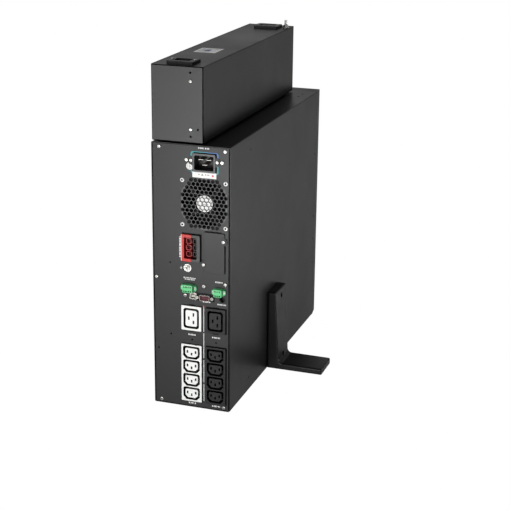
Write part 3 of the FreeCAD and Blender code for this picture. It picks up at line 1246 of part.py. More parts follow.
# ---------------------------------------------------------------- every node
def all_nodes():
    nodes = {
        "chassis_tray": chassis_tray(),
        "side_cover": side_cover(),
        "rear_panel": rear_panel(),
        "casing_screws": casing_screws(),
        "earth_screw": earth_screw(),
        "fan_frame": fan_frame(),
        "fan_bearings": fan_bearings(),
        "fan_rotor": fan_rotor(),
        "fan_screws": fan_screws(),
        "power_inlet": power_inlet(),
        "inlet_pins": inlet_pins(),
        "outlet_latches": outlet_latches(),
        "battery_port_positive": battery_port_half(-1),
        "battery_port_negative": battery_port_half(1),
        "port_contacts": port_contacts(),
        "card_slot_cover": card_slot_cover(),
        "terminal_plugs": group([terminal_plug(side) for side in SIGNAL_TERMINALS]),
        "terminal_screws": group([s for side in SIGNAL_TERMINALS for s in terminal_plug_screws(side)]),
        "signal_board": signal_board(),
        "usb_port": usb_port(),
        "serial_shell": serial_shell(),
        "serial_insert": serial_insert(),
        "serial_jack_screws": serial_jack_screws(),
        "phone_jack": phone_jack(),
        "foot_screws": foot_screws(),
        "module_case": module_case(),
        "module_lid": module_lid(),
        "module_inlet": module_inlet(),
        "module_outlet": module_outlet(),
        "module_screws": module_screws(),
        "module_earth_stud": module_earth_stud(),
        "module_pads": module_pads(),
        "filter_board": filter_board(),
        "filter_chokes": filter_chokes(),
        "bay_walls": bay_walls(),
        "bay_socket": bay_socket(),
        "battery_tray": battery_tray(),
        "battery_blocks": battery_blocks(),
        "battery_links": battery_links(),
        "tray_plug": tray_plug(),
        "battery_cover": battery_cover(),
        "main_board": main_board(),
        "heat_sinks": heat_sinks(),
        "bulk_capacitors": bulk_capacitors(),
        "power_magnetics": power_magnetics(),
        "output_board": output_board(),
        "front_bezel": front_bezel(),
        "display_housing": display_housing(),
        "display_window": display_window(),
        "power_button": power_button(),
    }
    for name, x in OUTLET_COLUMNS.items():
        nodes["large_outlet_" + name] = large_outlet(x)
        nodes["outlet_strip_" + name] = outlet_strip(x)
    for name, side in (("right", 1), ("left", -1)):
        nodes["stand_foot_" + name] = stand_foot(side)
    for i in range(4):
        nodes["menu_button_%d" % (i + 1)] = nav_button(i)
    return nodes


def main():
    os.makedirs("parts", exist_ok=True)
    nodes = all_nodes()
    for name, shape in nodes.items():
        solids = shape.Solids
        if not solids or not shape.isValid():
            print("PROBLEM", name, "solids", len(solids), "valid", shape.isValid())
        shape.exportStep(os.path.join("parts", name + ".step"))
    print(len(nodes), "nodes written")


main()
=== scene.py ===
"""Battery backup unit in its tower position with a filter module on top: looks, light and camera.

Units are metres in the CAD's frame: +Z up, the connector panel faces -Y, the display front faces +Y.
"""
import math
import bmesh
import bpy
from mathutils import Matrix, Vector


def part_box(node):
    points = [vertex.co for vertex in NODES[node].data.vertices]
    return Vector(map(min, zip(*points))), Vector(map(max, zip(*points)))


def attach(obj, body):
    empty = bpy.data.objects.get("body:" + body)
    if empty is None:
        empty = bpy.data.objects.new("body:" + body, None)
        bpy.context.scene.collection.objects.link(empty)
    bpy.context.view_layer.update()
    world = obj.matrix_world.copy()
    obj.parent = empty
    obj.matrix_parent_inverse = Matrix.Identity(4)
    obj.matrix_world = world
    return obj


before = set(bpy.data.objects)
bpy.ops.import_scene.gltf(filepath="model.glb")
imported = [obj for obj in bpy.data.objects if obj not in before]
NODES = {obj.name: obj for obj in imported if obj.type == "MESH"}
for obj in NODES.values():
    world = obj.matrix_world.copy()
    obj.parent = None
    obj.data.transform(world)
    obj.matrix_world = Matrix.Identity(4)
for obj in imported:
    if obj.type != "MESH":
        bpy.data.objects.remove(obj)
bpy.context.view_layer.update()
MM = 0.001


def low(node):
    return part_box(node)[0]


def high(node):
    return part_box(node)[1]


def middle(node):
    return (low(node) + high(node)) / 2


# ---------------------------------------------------------------- material building
def new_material(name):
    material = bpy.data.materials.new(name)
    material.use_nodes = True
    tree = material.node_tree
    return material, tree, tree.nodes["Principled BSDF"]


def node(tree, kind, **settings):
    made = tree.nodes.new(kind)
    for key, value in settings.items():
        setattr(made, key, value)
    return made


def object_coordinates(tree):
    return node(tree, "ShaderNodeTexCoord").outputs["Object"]


def noise(tree, scale, detail=2.0, roughness=0.5):
    made = node(tree, "ShaderNodeTexNoise")
    made.inputs["Scale"].default_value = scale
    made.inputs["Detail"].default_value = detail
    made.inputs["Roughness"].default_value = roughness
    tree.links.new(object_coordinates(tree), made.inputs["Vector"])
    return made.outputs["Fac"]


def math_node(tree, operation, first, second=None, clamp=False):
    made = node(tree, "ShaderNodeMath", operation=operation, use_clamp=clamp)
    for socket, value in zip(made.inputs, (first, second)):
        if value is None:
            continue
        if isinstance(value, (int, float)):
            socket.default_value = value
        else:
            tree.links.new(value, socket)
    return made.outputs[0]


def remap(tree, value, from_low, from_high, to_low, to_high):
    made = node(tree, "ShaderNodeMapRange", clamp=True)
    tree.links.new(value, made.inputs["Value"])
    settings = {"From Min": from_low, "From Max": from_high, "To Min": to_low, "To Max": to_high}
    for key, number in settings.items():
        made.inputs[key].default_value = number
    return made.outputs["Result"]


def mix_colour(tree, share, first, second):
    made = node(tree, "ShaderNodeMix", data_type="RGBA")
    tree.links.new(share, made.inputs["Factor"])
    for socket, value in ((made.inputs[6], first), (made.inputs[7], second)):
        if isinstance(value, (tuple, list)):
            socket.default_value = (*value[:3], 1.0)
        else:
            tree.links.new(value, socket)
    return made.outputs[2]


def scaled(colour, factor):
    return tuple(channel * factor for channel in colour)


def axis_value(tree, letter, of="Object"):
    """One coordinate of the point on the object, in metres."""
    split = node(tree, "ShaderNodeSeparateXYZ")
    tree.links.new(node(tree, "ShaderNodeTexCoord").outputs[of], split.inputs[0])
    return split.outputs[letter]


GRAIN_HEIGHT = 0.00012                   # depth of the fine grain's bump, in metres
NO_EDGE, ALL_EDGE = 0.99, 0.75           # how far a bevelled normal turns at an edge


def surface(name, colour, roughness, metallic=0.0, grain=0.35, grain_scale=1500.0, mottle=0.12,
            mottle_scale=30.0, rough_spread=0.08, bevel=0.0, wear=0.0, wear_colour=(0.35, 0.35, 0.35),
            specular=0.5):
    """A solid material with fine grain, uneven gloss, slow colour drift and lighter worn edges."""
    material, tree, shader = new_material(name)
    shader.inputs["Metallic"].default_value = metallic
    shader.inputs["Specular IOR Level"].default_value = specular
    drift = noise(tree, mottle_scale, 3.0)
    base = mix_colour(tree, drift, scaled(colour, 1 - mottle), scaled(colour, 1 + mottle))
    fine = noise(tree, grain_scale, 2.0)
    gloss = math_node(tree, "ADD", remap(tree, fine, 0.3, 0.7, -rough_spread, rough_spread),
                      remap(tree, drift, 0.3, 0.7, roughness - rough_spread / 2,
                            roughness + rough_spread / 2))
    tree.links.new(gloss, shader.inputs["Roughness"])
    bump = node(tree, "ShaderNodeBump")
    bump.inputs["Strength"].default_value = grain
    bump.inputs["Distance"].default_value = GRAIN_HEIGHT
    tree.links.new(fine, bump.inputs["Height"])
    if bevel > 0:
        edge = node(tree, "ShaderNodeBevel", samples=4)
        edge.inputs["Radius"].default_value = bevel
        tree.links.new(edge.outputs["Normal"], bump.inputs["Normal"])
        if wear > 0:
            true_normal = node(tree, "ShaderNodeNewGeometry").outputs["Normal"]
            match = node(tree, "ShaderNodeVectorMath", operation="DOT_PRODUCT")
            tree.links.new(edge.outputs["Normal"], match.inputs[0])
            tree.links.new(true_normal, match.inputs[1])
            bare = remap(tree, match.outputs["Value"], NO_EDGE, ALL_EDGE, 0.0, wear)
            patches = remap(tree, noise(tree, 220.0, 4.0), 0.35, 0.65, 0.2, 1.0)
            patchy = math_node(tree, "MULTIPLY", bare, patches)
            base = mix_colour(tree, patchy, base, wear_colour)
    tree.links.new(base, shader.inputs["Base Color"])
    tree.links.new(bump.outputs["Normal"], shader.inputs["Normal"])
    return material


def set_base(material, build):
    """Rebuilds a material's colour: build(tree, old colour socket) returns the new colour socket."""
    tree = material.node_tree
    shader = tree.nodes["Principled BSDF"]
    link = shader.inputs["Base Color"].links[0]
    old = link.from_socket
    tree.links.remove(link)
    tree.links.new(build(tree, old), shader.inputs["Base Color"])
    return material


def dark_crevices(material, reach, amount=1.0):
    """Darkens the narrow recesses of small parts, where no light gets in."""
    def build(tree, old):
        shade = node(tree, "ShaderNodeAmbientOcclusion", samples=8)
        shade.inputs["Distance"].default_value = reach
        open_share = remap(tree, shade.outputs["AO"], 0.45, 0.85, 1.0 - amount, 1.0)
        return mix_colour(tree, open_share, (0.004, 0.004, 0.004), old)
    return set_base(material, build)


def finish_node(name, *materials):
    """Puts materials on a CAD node's slots."""
    mesh = NODES[name].data
    mesh.materials.clear()
    for material in materials:
        mesh.materials.append(material)


# ---------------------------------------------------------------- materials of the object
FAN_X, FAN_Z = 0.022, 0.3456             # the fan's centre on the rear panel
FAN_HALF_PITCH = 0.0715 / 2              # from the fan's centre to its screws, across and upward
CASING = (0.0080, 0.0080, 0.0083)
PANEL_GREY = (0.031, 0.031, 0.032)
EDGE_GREY = (0.06, 0.06, 0.063)


def powder_coat(name, colour, roughness, mottle_scale=9.0, bevel=0.0005, wear=0.3):
    return surface(name, colour, roughness, specular=0.35, grain=0.5, grain_scale=1400, mottle=0.05,
                   mottle_scale=mottle_scale, bevel=bevel, wear=wear, wear_colour=EDGE_GREY)


casing_paint = powder_coat("casing_powder_coat", CASING, 0.36)
panel_paint = powder_coat("rear_panel_powder_coat", PANEL_GREY, 0.4, bevel=0.0003)


def grille_web_painted_highlight(tree, old):
    """Painted highlight: the grille area, the thin web between the air holes, is painted lighter for the
    light caught on the web's edges.
    """
    x = math_node(tree, "SUBTRACT", axis_value(tree, "X"), FAN_X)
    z = math_node(tree, "SUBTRACT", axis_value(tree, "Z"), FAN_Z)
    away = math_node(tree, "SQRT", math_node(tree, "ADD", math_node(tree, "MULTIPLY", x, x),
                                             math_node(tree, "MULTIPLY", z, z)))
    round_share = remap(tree, away, 0.0400, 0.0425, 1.0, 0.0)
    wide_share = remap(tree, math_node(tree, "ABSOLUTE", x), 0.0370, 0.0385, 1.0, 0.0)
    web = math_node(tree, "MULTIPLY", round_share, wide_share)
    return mix_colour(tree, web, old, (0.13, 0.13, 0.133))


set_base(panel_paint, grille_web_painted_highlight)
cover_plate_paint = powder_coat("cover_plate_powder_coat", scaled(PANEL_GREY, 1.08), 0.4, 12.0, 0.0004)
module_paint = powder_coat("module_powder_coat", scaled(CASING, 0.75), 0.38)


def rear_wall_painted_light(tree, old):
    """Painted light: the module's rear end wall, which faces the main light, is painted lighter than its
    sides.
    """
    rear = low("module_case").y
    wall = remap(tree, axis_value(tree, "Y"), rear + 0.0006, rear + 0.0012, 1.0, 0.0)
    return mix_colour(tree, wall, old, (0.052, 0.052, 0.0535))


set_base(module_paint, rear_wall_painted_light)


def edge_lines_painted_shade(material, names, width):
    """Painted shade: black lines are painted along the folded edges of a sheet-metal box, where the folds
    reflect nothing.
    """
    tree = material.node_tree
    shader = tree.nodes["Principled BSDF"]
    corners = [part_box(name) for name in names]
    near_faces = None
    for index, letter in enumerate("XYZ"):
        start = min(corner[0][index] for corner in corners)
        stop = max(corner[1][index] for corner in corners)
        half = (stop - start) / 2
        offset = math_node(tree, "SUBTRACT", axis_value(tree, letter), start + half)
        away = math_node(tree, "ABSOLUTE", offset)
        near = remap(tree, away, half - width, half - width * 0.7, 0.0, 1.0)
        near_faces = near if near_faces is None else math_node(tree, "ADD", near_faces, near)
    line = remap(tree, near_faces, 1.0, 2.0, 0.0, 1.0)
    set_base(material, lambda tree, old: mix_colour(tree, line, old, (0.0, 0.0, 0.0)))
    tree.links.new(line, shader.inputs["Metallic"])


edge_lines_painted_shade(module_paint, ("module_case", "module_lid"), 0.0018)
bezel_plastic = surface("bezel_grained_plastic", scaled(CASING, 0.9), 0.42, specular=0.3, grain=0.8,
                        grain_scale=900, mottle=0.04, bevel=0.0006, wear=0.12)
black_plastic = surface("black_moulded_plastic", (0.016, 0.016, 0.016), 0.38, grain=0.2, grain_scale=1200,
                        bevel=0.0003)
fan_plastic = surface("fan_plastic", (0.004, 0.004, 0.004), 0.5, specular=0.15, grain=0.25,
                      grain_scale=900, bevel=0.0003)
foot_plastic = surface("foot_moulded_plastic", scaled(CASING, 1.1), 0.4, specular=0.35, grain=0.9,
                       grain_scale=700, mottle=0.06, bevel=0.0008, wear=0.1)
zinc = surface("zinc_plated_steel", (0.72, 0.71, 0.68), 0.28, metallic=1.0, grain=0.12, grain_scale=800,
               bevel=0.0002, mottle=0.08, mottle_scale=300)
black_steel = surface("blackened_steel", (0.03, 0.03, 0.03), 0.35, metallic=0.6, grain=0.2, bevel=0.0002)
nickel = surface("nickel_plated_shell", (0.74, 0.72, 0.68), 0.22, metallic=1.0, grain=0.08, bevel=0.0002,
                 mottle=0.06, mottle_scale=200)
tin_contact = surface("tinned_contact", (0.28, 0.27, 0.25), 0.3, metallic=1.0, grain=0.1, mottle_scale=250)
# Painted shade: the battery port's contacts sit deep in their wells and get a near-black colour for the shade
# there.
port_contact_painted_shade = surface("port_contact_painted_shade", (0.012, 0.006, 0.006), 0.5, metallic=0.6, grain=0.2)
serial_plastic = surface("serial_insert_plastic", (0.16, 0.035, 0.05), 0.45, grain=0.2)
red_plastic = surface("red_moulded_plastic", (0.55, 0.02, 0.016), 0.36, grain=0.2, mottle=0.05, bevel=0.0003)
grey_port_plastic = surface("grey_port_plastic", (0.045, 0.045, 0.046), 0.42, grain=0.25, bevel=0.0003)
green_plastic = surface("green_terminal_plastic", (0.13, 0.60, 0.24), 0.42, grain=0.2, mottle=0.06,
                        bevel=0.0002)
rubber = surface("pad_rubber", (0.02, 0.02, 0.02), 0.75, grain=0.6, grain_scale=500)
board = surface("board_solder_mask", (0.02, 0.13, 0.05), 0.3, grain=0.1, mottle=0.15, mottle_scale=60)
# Black of the outlet latches, also used for the painted shadow strips beside the panel's inserts and the
# painted shade along the panel's side edges.
latch_black_and_painted_shadow = surface("latch_black_and_painted_shadow_finish", (0.002, 0.002, 0.002), 0.7, specular=0.1, grain=0.2)
galvanised = surface("galvanised_steel", (0.55, 0.56, 0.57), 0.42, metallic=0.9, grain=0.1, mottle=0.2,
                     mottle_scale=70)
aluminium = surface("extruded_aluminium", (0.75, 0.75, 0.77), 0.35, metallic=1.0, grain=0.2, mottle=0.04)
sleeve = surface("capacitor_sleeve", (0.02, 0.025, 0.07), 0.3, grain=0.05)
copper = surface("enamelled_copper", (0.5, 0.2, 0.06), 0.35, metallic=0.5, grain=0.5, grain_scale=500)
battery_case = surface("battery_case", (0.07, 0.07, 0.075), 0.45, grain=0.4, bevel=0.0006)
insulation = surface("link_insulation", (0.45, 0.03, 0.02), 0.4, grain=0.1)
bronze = surface("sintered_bronze", (0.5, 0.33, 0.15), 0.4, metallic=1.0, grain=0.3)
button_plastic = surface("button_plastic", (0.06, 0.06, 0.063), 0.32, grain=0.1, bevel=0.0004)
label_foil = surface("label_foil", (0.95, 0.95, 0.95), 0.3, metallic=0.85, grain=0.03, mottle=0.02)
label_white = surface("label_paper", (0.86, 0.86, 0.84), 0.4, grain=0.05, mottle=0.02)
print_white = surface("printed_white", (0.8, 0.8, 0.79), 0.45, grain=0.1, mottle=0.06, mottle_scale=700)
print_grey = surface("printed_grey", (0.25, 0.25, 0.26), 0.5, grain=0.1, mottle=0.1, mottle_scale=700)
print_red = surface("printed_red", (0.7, 0.08, 0.08), 0.45, grain=0.1)
screen_blue = surface("screen_backlight", (0.02, 0.10, 0.20), 0.25, grain=0.02, mottle=0.06)
screen_white = surface("screen_segments", (0.70, 0.80, 0.85), 0.3, grain=0.02, mottle=0.03)
print_blue = surface("printed_blue", (0.05, 0.22, 0.62), 0.4, grain=0.1, mottle=0.15, mottle_scale=400)


def dark_recess(name, node_name, depth, pale, dark, specular=0.5):
    """Pale at its front, dark deeper than that depth behind its front."""
    material = surface(name, pale, 0.42, grain=0.15, grain_scale=1100, mottle=0.02, bevel=0.0003,
                       specular=specular)
    front = low(node_name).y

    def two_tone(tree, old):
        behind = remap(tree, axis_value(tree, "Y"), front + depth, front + depth + 0.0002, 0.0, 1.0)
        return mix_colour(tree, behind, old, dark)

    return set_base(material, two_tone)


INNER_BLACK = (0.003, 0.003, 0.003)
white_outlet = dark_recess("white_outlet_plastic", "large_outlet_group_one", 0.0007, (0.93, 0.94, 0.91),
                           INNER_BLACK)
black_outlet = dark_recess("black_outlet_plastic", "large_outlet_group_two", 0.0007, (0.021, 0.021, 0.023),
                           INNER_BLACK, 0.3)
inlet_plastic = dark_recess("inlet_plastic", "power_inlet", 0.0008, (0.075, 0.075, 0.076), INNER_BLACK)
socket_plastic = surface("module_socket_plastic", (0.02, 0.02, 0.02), 0.38, grain=0.2, bevel=0.0003)


def between(tree, letter, start, stop, soft=0.0002):
    """1 where a coordinate lies between two values, 0 elsewhere, in metres."""
    value = axis_value(tree, letter)
    rising = remap(tree, value, start - soft, start, 0.0, 1.0)
    falling = remap(tree, value, stop, stop + soft, 1.0, 0.0)
    return math_node(tree, "MULTIPLY", rising, falling)


def left_edge_painted_highlight(tree, old):
    """Painted highlight: a pale strip along the red connector half's outer side, where light falls on its
    raised left edge.
    """
    edge = between(tree, "X", low("battery_port_positive").x - 0.001, low("battery_port_positive").x + 0.0017)
    return mix_colour(tree, edge, old, (0.80, 0.52, 0.48))


# Painted shade: a connector well is painted dark deeper than depth behind its front, where shade falls.
def well_painted_shade(node_name, depth, dark):
    def build(tree, old):
        front = low(node_name).y
        return mix_colour(tree, between(tree, "Y", front + depth, front + 1.0), old, dark)
    return build


def dark_side_screws(tree, old):
    """The side cover's two screws are blackened; the panel's are zinc plated."""
    outermost = between(tree, "X", high("casing_screws").x - 0.0035, 1.0)
    return mix_colour(tree, outermost, old, (0.02, 0.02, 0.02))


def dark_shell_inside(tree, old):
    """The serial shell is dark behind its front rim."""
    deep = between(tree, "Y", -0.2530, -0.2400)
    shell = between(tree, "X", low("serial_shell").x, 0.0395)
    return mix_colour(tree, math_node(tree, "MULTIPLY", deep, shell), old, (0.03, 0.03, 0.03))


set_base(red_plastic, left_edge_painted_highlight)
set_base(red_plastic, well_painted_shade("battery_port_positive", 0.0012, (0.32, 0.008, 0.008)))
set_base(grey_port_plastic, well_painted_shade("battery_port_negative", 0.0012, (0.004, 0.004, 0.004)))
set_base(nickel, dark_shell_inside)
set_base(zinc, dark_side_screws)
dark_crevices(green_plastic, 0.0015)
dark_crevices(zinc, 0.0009)


def driver_recess_painted_shade(tree, old):
    """Painted shade: the round driver recess of each fan screw is painted dark."""
    centre_x, centre_z = middle("fan_screws").x, middle("fan_screws").z
    across = math_node(tree, "ABSOLUTE", math_node(tree, "SUBTRACT", axis_value(tree, "X"), centre_x))
    upward = math_node(tree, "ABSOLUTE", math_node(tree, "SUBTRACT", axis_value(tree, "Z"), centre_z))
    dx = math_node(tree, "SUBTRACT", across, FAN_HALF_PITCH)
    dz = math_node(tree, "SUBTRACT", upward, FAN_HALF_PITCH)
    away = math_node(tree, "SQRT", math_node(tree, "ADD", math_node(tree, "MULTIPLY", dx, dx),
                                             math_node(tree, "MULTIPLY", dz, dz)))
    return mix_colour(tree, remap(tree, away, 0.0015, 0.0018, 1.0, 0.0), old, (0.01, 0.01, 0.01))


fan_zinc = surface("fan_screw_zinc", (0.80, 0.80, 0.78), 0.5, metallic=0.3, grain=0.1, bevel=0.0002)
set_base(fan_zinc, driver_recess_painted_shade)


# ---------------------------------------------------------------- display glass
def display_glass():
    material, tree, shader = new_material("display_glass")
    shader.inputs["Base Color"].default_value = (0.01, 0.012, 0.014, 1.0)
    shader.inputs["Roughness"].default_value = 0.06
    shader.inputs["Coat Weight"].default_value = 0.5
    shade = mix_colour(tree, noise(tree, 12.0), (0.008, 0.01, 0.012), (0.014, 0.017, 0.02))
    tree.links.new(shade, shader.inputs["Base Color"])
    return material


FINISHES = {
    casing_paint: ["chassis_tray", "side_cover"],
    panel_paint: ["rear_panel"],
    cover_plate_paint: ["card_slot_cover"],
    module_paint: ["module_case", "module_lid"],
    bezel_plastic: ["front_bezel", "battery_cover", "display_housing"],
    inlet_plastic: ["power_inlet"],
    socket_plastic: ["module_inlet", "module_outlet"],
    latch_black_and_painted_shadow: ["outlet_latches"],
    black_plastic: ["phone_jack", "bay_socket", "tray_plug"],
    serial_plastic: ["serial_insert"],
    fan_plastic: ["fan_frame", "fan_rotor"],
    foot_plastic: ["stand_foot_right", "stand_foot_left"],
    zinc: ["casing_screws", "earth_screw", "terminal_screws", "module_screws", "module_earth_stud"],
    fan_zinc: ["fan_screws"],
    black_steel: ["foot_screws"],
    nickel: ["usb_port", "serial_shell", "serial_jack_screws"],
    tin_contact: ["inlet_pins"],
    port_contact_painted_shade: ["port_contacts"],
    white_outlet: ["large_outlet_group_one", "outlet_strip_group_one"],
    black_outlet: ["large_outlet_group_two", "outlet_strip_group_two"],
    red_plastic: ["battery_port_positive"],
    grey_port_plastic: ["battery_port_negative"],
    green_plastic: ["terminal_plugs"],
    rubber: ["module_pads"],
    board: ["signal_board", "filter_board", "main_board", "output_board"],
    galvanised: ["bay_walls", "battery_tray"],
    aluminium: ["heat_sinks"],
    sleeve: ["bulk_capacitors"],
    copper: ["filter_chokes", "power_magnetics"],
    battery_case: ["battery_blocks"],
    insulation: ["battery_links"],
    bronze: ["fan_bearings"],
    button_plastic: ["power_button", "menu_button_1", "menu_button_2", "menu_button_3", "menu_button_4"],
    display_glass(): ["display_window"],
}
for finish, names in FINISHES.items():
    for name in names:
        finish_node(name, finish)


# ---------------------------------------------------------------- labels, printed marks and small pieces
REAR_SIDE = (Vector((1, 0, 0)), Vector((0, 0, 1)), Vector((0, -1, 0)))     # across, upward, outward
FRONT_SIDE = (Vector((-1, 0, 0)), Vector((0, 0, 1)), Vector((0, 1, 0)))
TOP_SIDE = (Vector((1, 0, 0)), Vector((0, 1, 0)), Vector((0, 0, 1)))
PRINT = 0.06                                                               # thickness of a printed mark, mm
PAPER = 0.12                                                               # thickness of a sticker, mm


def rectangle(x0, x1, z0, z1):
    return [(x0, z0), (x1, z0), (x1, z1), (x0, z1)]


def round_rectangle(x0, x1, z0, z1, radius, steps=6):
    points = []
    for cx, cz, start in ((x1 - radius, z0 + radius, -90), (x1 - radius, z1 - radius, 0),
                          (x0 + radius, z1 - radius, 90), (x0 + radius, z0 + radius, 180)):
        for i in range(steps + 1):
            angle = math.radians(start + 90 * i / steps)
            points.append((cx + radius * math.cos(angle), cz + radius * math.sin(angle)))
    return points


def circle(x, z, radius, steps=40, start=0.0, stop=360.0):
    span = math.radians(stop - start)
    count = steps if stop - start >= 360 else steps + 1
    return [(x + radius * math.cos(math.radians(start) + span * i / steps),
             z + radius * math.sin(math.radians(start) + span * i / steps)) for i in range(count)]


def bar(x0, z0, x1, z1, width):
    """A straight stroke of a drawn symbol."""
    length = math.hypot(x1 - x0, z1 - z0)
    nx, nz = -(z1 - z0) / length * width / 2, (x1 - x0) / length * width / 2
    return [(x0 - nx, z0 - nz), (x1 - nx, z1 - nz), (x1 + nx, z1 + nz), (x0 + nx, z0 + nz)]


def text_bars(x0, x1, z, height, widths=(2.2, 1.4, 1.9, 1.1), gap=0.6):
    """A printed legend without letters: a row of short blocks from x0 to x1."""
    shapes = []
    x = x0
    turn = 0
    while x < x1 - 0.4:
        wide = min(widths[turn % len(widths)], x1 - x)
        shapes.append(rectangle(x, x + wide, z - height / 2, z + height / 2))
        x += wide + (gap if turn % 3 else gap * 2)
        turn += 1
    return shapes


def upright_bars(z0, z1, x, height):
    """A legend turned by a quarter, reading upwards."""
    return [[(x - (b - z0), a) for a, b in reversed(shape)] for shape in text_bars(z0, z1, z0, height)]


def piece(name, shapes, side, base, thickness, material, body="casing"):
    """One piece of flat prisms (mm) on a side: each shape is a loop or an (outer, inner) pair of loops."""
    across, upward, outward = side
    mesh = bpy.data.meshes.new(name)
    built = bmesh.new()

    def ring(loop, level):
        return [built.verts.new((across * a + upward * b + outward * level) * MM) for a, b in loop]

    for shape in shapes:
        pair = isinstance(shape, tuple)
        outer = shape[0] if pair else shape
        back, front = ring(outer, base), ring(outer, base + thickness)
        count = len(outer)
        for i in range(count):
            j = (i + 1) % count
            built.faces.new((back[i], back[j], front[j], front[i]))
        if pair:
            inner_back, inner_front = ring(shape[1], base), ring(shape[1], base + thickness)
            for i in range(count):
                j = (i + 1) % count
                built.faces.new((inner_back[j], inner_back[i], inner_front[i], inner_front[j]))
                built.faces.new((front[i], front[j], inner_front[j], inner_front[i]))
                built.faces.new((back[j], back[i], inner_back[i], inner_back[j]))
        else:
            built.faces.new(front)
            built.faces.new(list(reversed(back)))
    bmesh.ops.recalc_face_normals(built, faces=built.faces)
    built.to_mesh(mesh)
    built.free()
    mesh.materials.append(material)
    made = bpy.data.objects.new(name, mesh)
    bpy.context.scene.collection.objects.link(made)
    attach(made, body)
    return made


PANEL = -low("rear_panel").y / MM           # how far out the rear panel's face lies, mm
LID_TOP = high("module_lid").z / MM
FACE = high("display_window").y / MM


def rear_print(name, shapes, material, thickness=PRINT, base=PANEL):
    return piece(name, shapes, REAR_SIDE, base - 0.03, thickness + 0.03, material)


def gradient_print():
    """The printed frame round the inlet runs from teal to blue."""
    material = surface("printed_teal_to_blue", (0.02, 0.30, 0.33), 0.45, grain=0.1, mottle=0.06,
                       mottle_scale=500)

    def build(tree, old):
        rightward = remap(tree, axis_value(tree, "X"), 0.016, 0.034, 0.0, 1.0)
        upper = remap(tree, axis_value(tree, "Z"), 0.405, 0.418, 0.0, 1.0)
        return mix_colour(tree, math_node(tree, "MULTIPLY", rightward, upper), old, (0.06, 0.17, 0.45))
    return set_base(material, build)


def rear_panel_prints():
    rear_print("inlet_frame_print", [(round_rectangle(-0.1, 45.7, 393.6, 428.1, 4.0),
                                      round_rectangle(2.1, 43.5, 395.8, 425.9, 2.4))], gradient_print())
    rear_print("inlet_legend", text_bars(12.5, 21.5, 433.9, 2.2, (2.0, 1.6)) +
               text_bars(23.6, 30.5, 433.9, 2.2, (1.8, 1.5)), print_white)
    rear_print("inlet_sticker", [round_rectangle(2.8, 42.2, 387.2, 396.2, 0.6)], label_white, PAPER)
    over = PANEL + PAPER
    triangle = [(17.2, 390.8), (21.2, 390.8), (19.2, 394.0)]
    rear_print("inlet_sticker_marks", text_bars(12.5, 16.0, 392.2, 1.2) + [triangle] +
               text_bars(23.5, 31.5, 392.4, 1.3), print_grey, PRINT, over)
    rear_print("inlet_sticker_spot", [circle(36.4, 391.6, 1.7)], print_red, PRINT, over)
    rear_print("earth_disc", [circle(-1.5, 404.2, 5.7)], label_white, PAPER)
    rear_print("earth_disc_marks", [(circle(-1.5, 404.2, 4.2), circle(-1.5, 404.2, 3.7)),
                                    bar(-1.5, 406.8, -1.5, 404.4, 0.6), bar(-3.7, 404.4, 0.7, 404.4, 0.6),
                                    bar(-3.0, 403.2, 0.0, 403.2, 0.6), bar(-2.2, 402.0, -0.8, 402.0, 0.6)],
               print_grey, PRINT, over)
    rear_print("battery_legend", upright_bars(255.0, 289.0, -18.6, 2.8), print_white)
    rear_print("earth_mark", [bar(-17.0, 240.4, -17.0, 237.4, 0.8), bar(-18.8, 237.4, -15.2, 237.4, 0.8),
                              bar(-18.0, 236.0, -16.0, 236.0, 0.7)], print_white)
    rear_print("terminal_legends", text_bars(-13.0, 7.5, 222.0, 1.7) + text_bars(-11.0, 5.5, 219.4, 1.6) +
               text_bars(40.5, 52.5, 220.4, 2.3), print_white)
    rear_print("port_legends", text_bars(19.5, 32.5, 185.0, 1.9) + text_bars(44.0, 59.0, 183.4, 2.2),
               print_white)
    rear_print("outlet_legends", text_bars(-5.5, 7.5, 126.2, 2.4) + text_bars(35.0, 48.6, 126.2, 2.4) +
               text_bars(-5.5, 7.5, 6.6, 2.3) + text_bars(35.0, 48.6, 6.6, 2.3), print_white)
    rear_print("group_line", [rectangle(20.3, 21.4, z0, z1) for z0, z1 in
                              ((134.0, 175.5), (88.0, 131.0), (46.0, 85.0), (13.0, 43.0))], print_white)
    rear_print("group_line_mark", [rectangle(20.1, 21.6, 175.5, 178.5)], print_red)


def corner_strip(x0, x1, z0, z1, width):
    """A strip along the top and right edges of a rectangle, just outside it."""
    return [rectangle(x0 + width, x1 + width, z1, z1 + width), rectangle(x1, x1 + width, z0, z1)]


def painted_shadow_strips():
    """Painted shadows: black strips along the upper and right edges of the panel's raised inserts and plates,
    where their shadows fall.
    """
    shapes = []
    for name, width in (("large_outlet_group_one", 0.8), ("large_outlet_group_two", 1.5),
                        ("outlet_strip_group_one", 0.8), ("outlet_strip_group_two", 1.4)):
        start, stop = low(name) / MM, high(name) / MM
        shapes += corner_strip(start.x, stop.x, start.z, stop.z, width)
    start, stop = low("battery_port_positive") / MM, high("battery_port_negative") / MM
    shapes += corner_strip(start.x, stop.x, start.z, stop.z, 1.5)
    shapes += corner_strip(3.9, 41.3, 396.5, 425.5, 1.4)
    shapes += [rectangle(23.6, 50.0, 300.9, 302.6), bar(50.0, 301.7, 56.2, 296.6, 1.7),
               rectangle(56.1, 57.7, 235.6, 281.0)]
    rear_print("insert_painted_shadows", shapes, latch_black_and_painted_shadow, 0.3)
    # Painted shade: black strips along the panel's side edges, in the gaps beside the casing.
    rear_print("panel_side_painted_shade", [rectangle(-63.2, -62.7, 3.0, 435.0),
                                   rectangle(62.3, 63.3, 3.0, 435.0)], latch_black_and_painted_shadow)


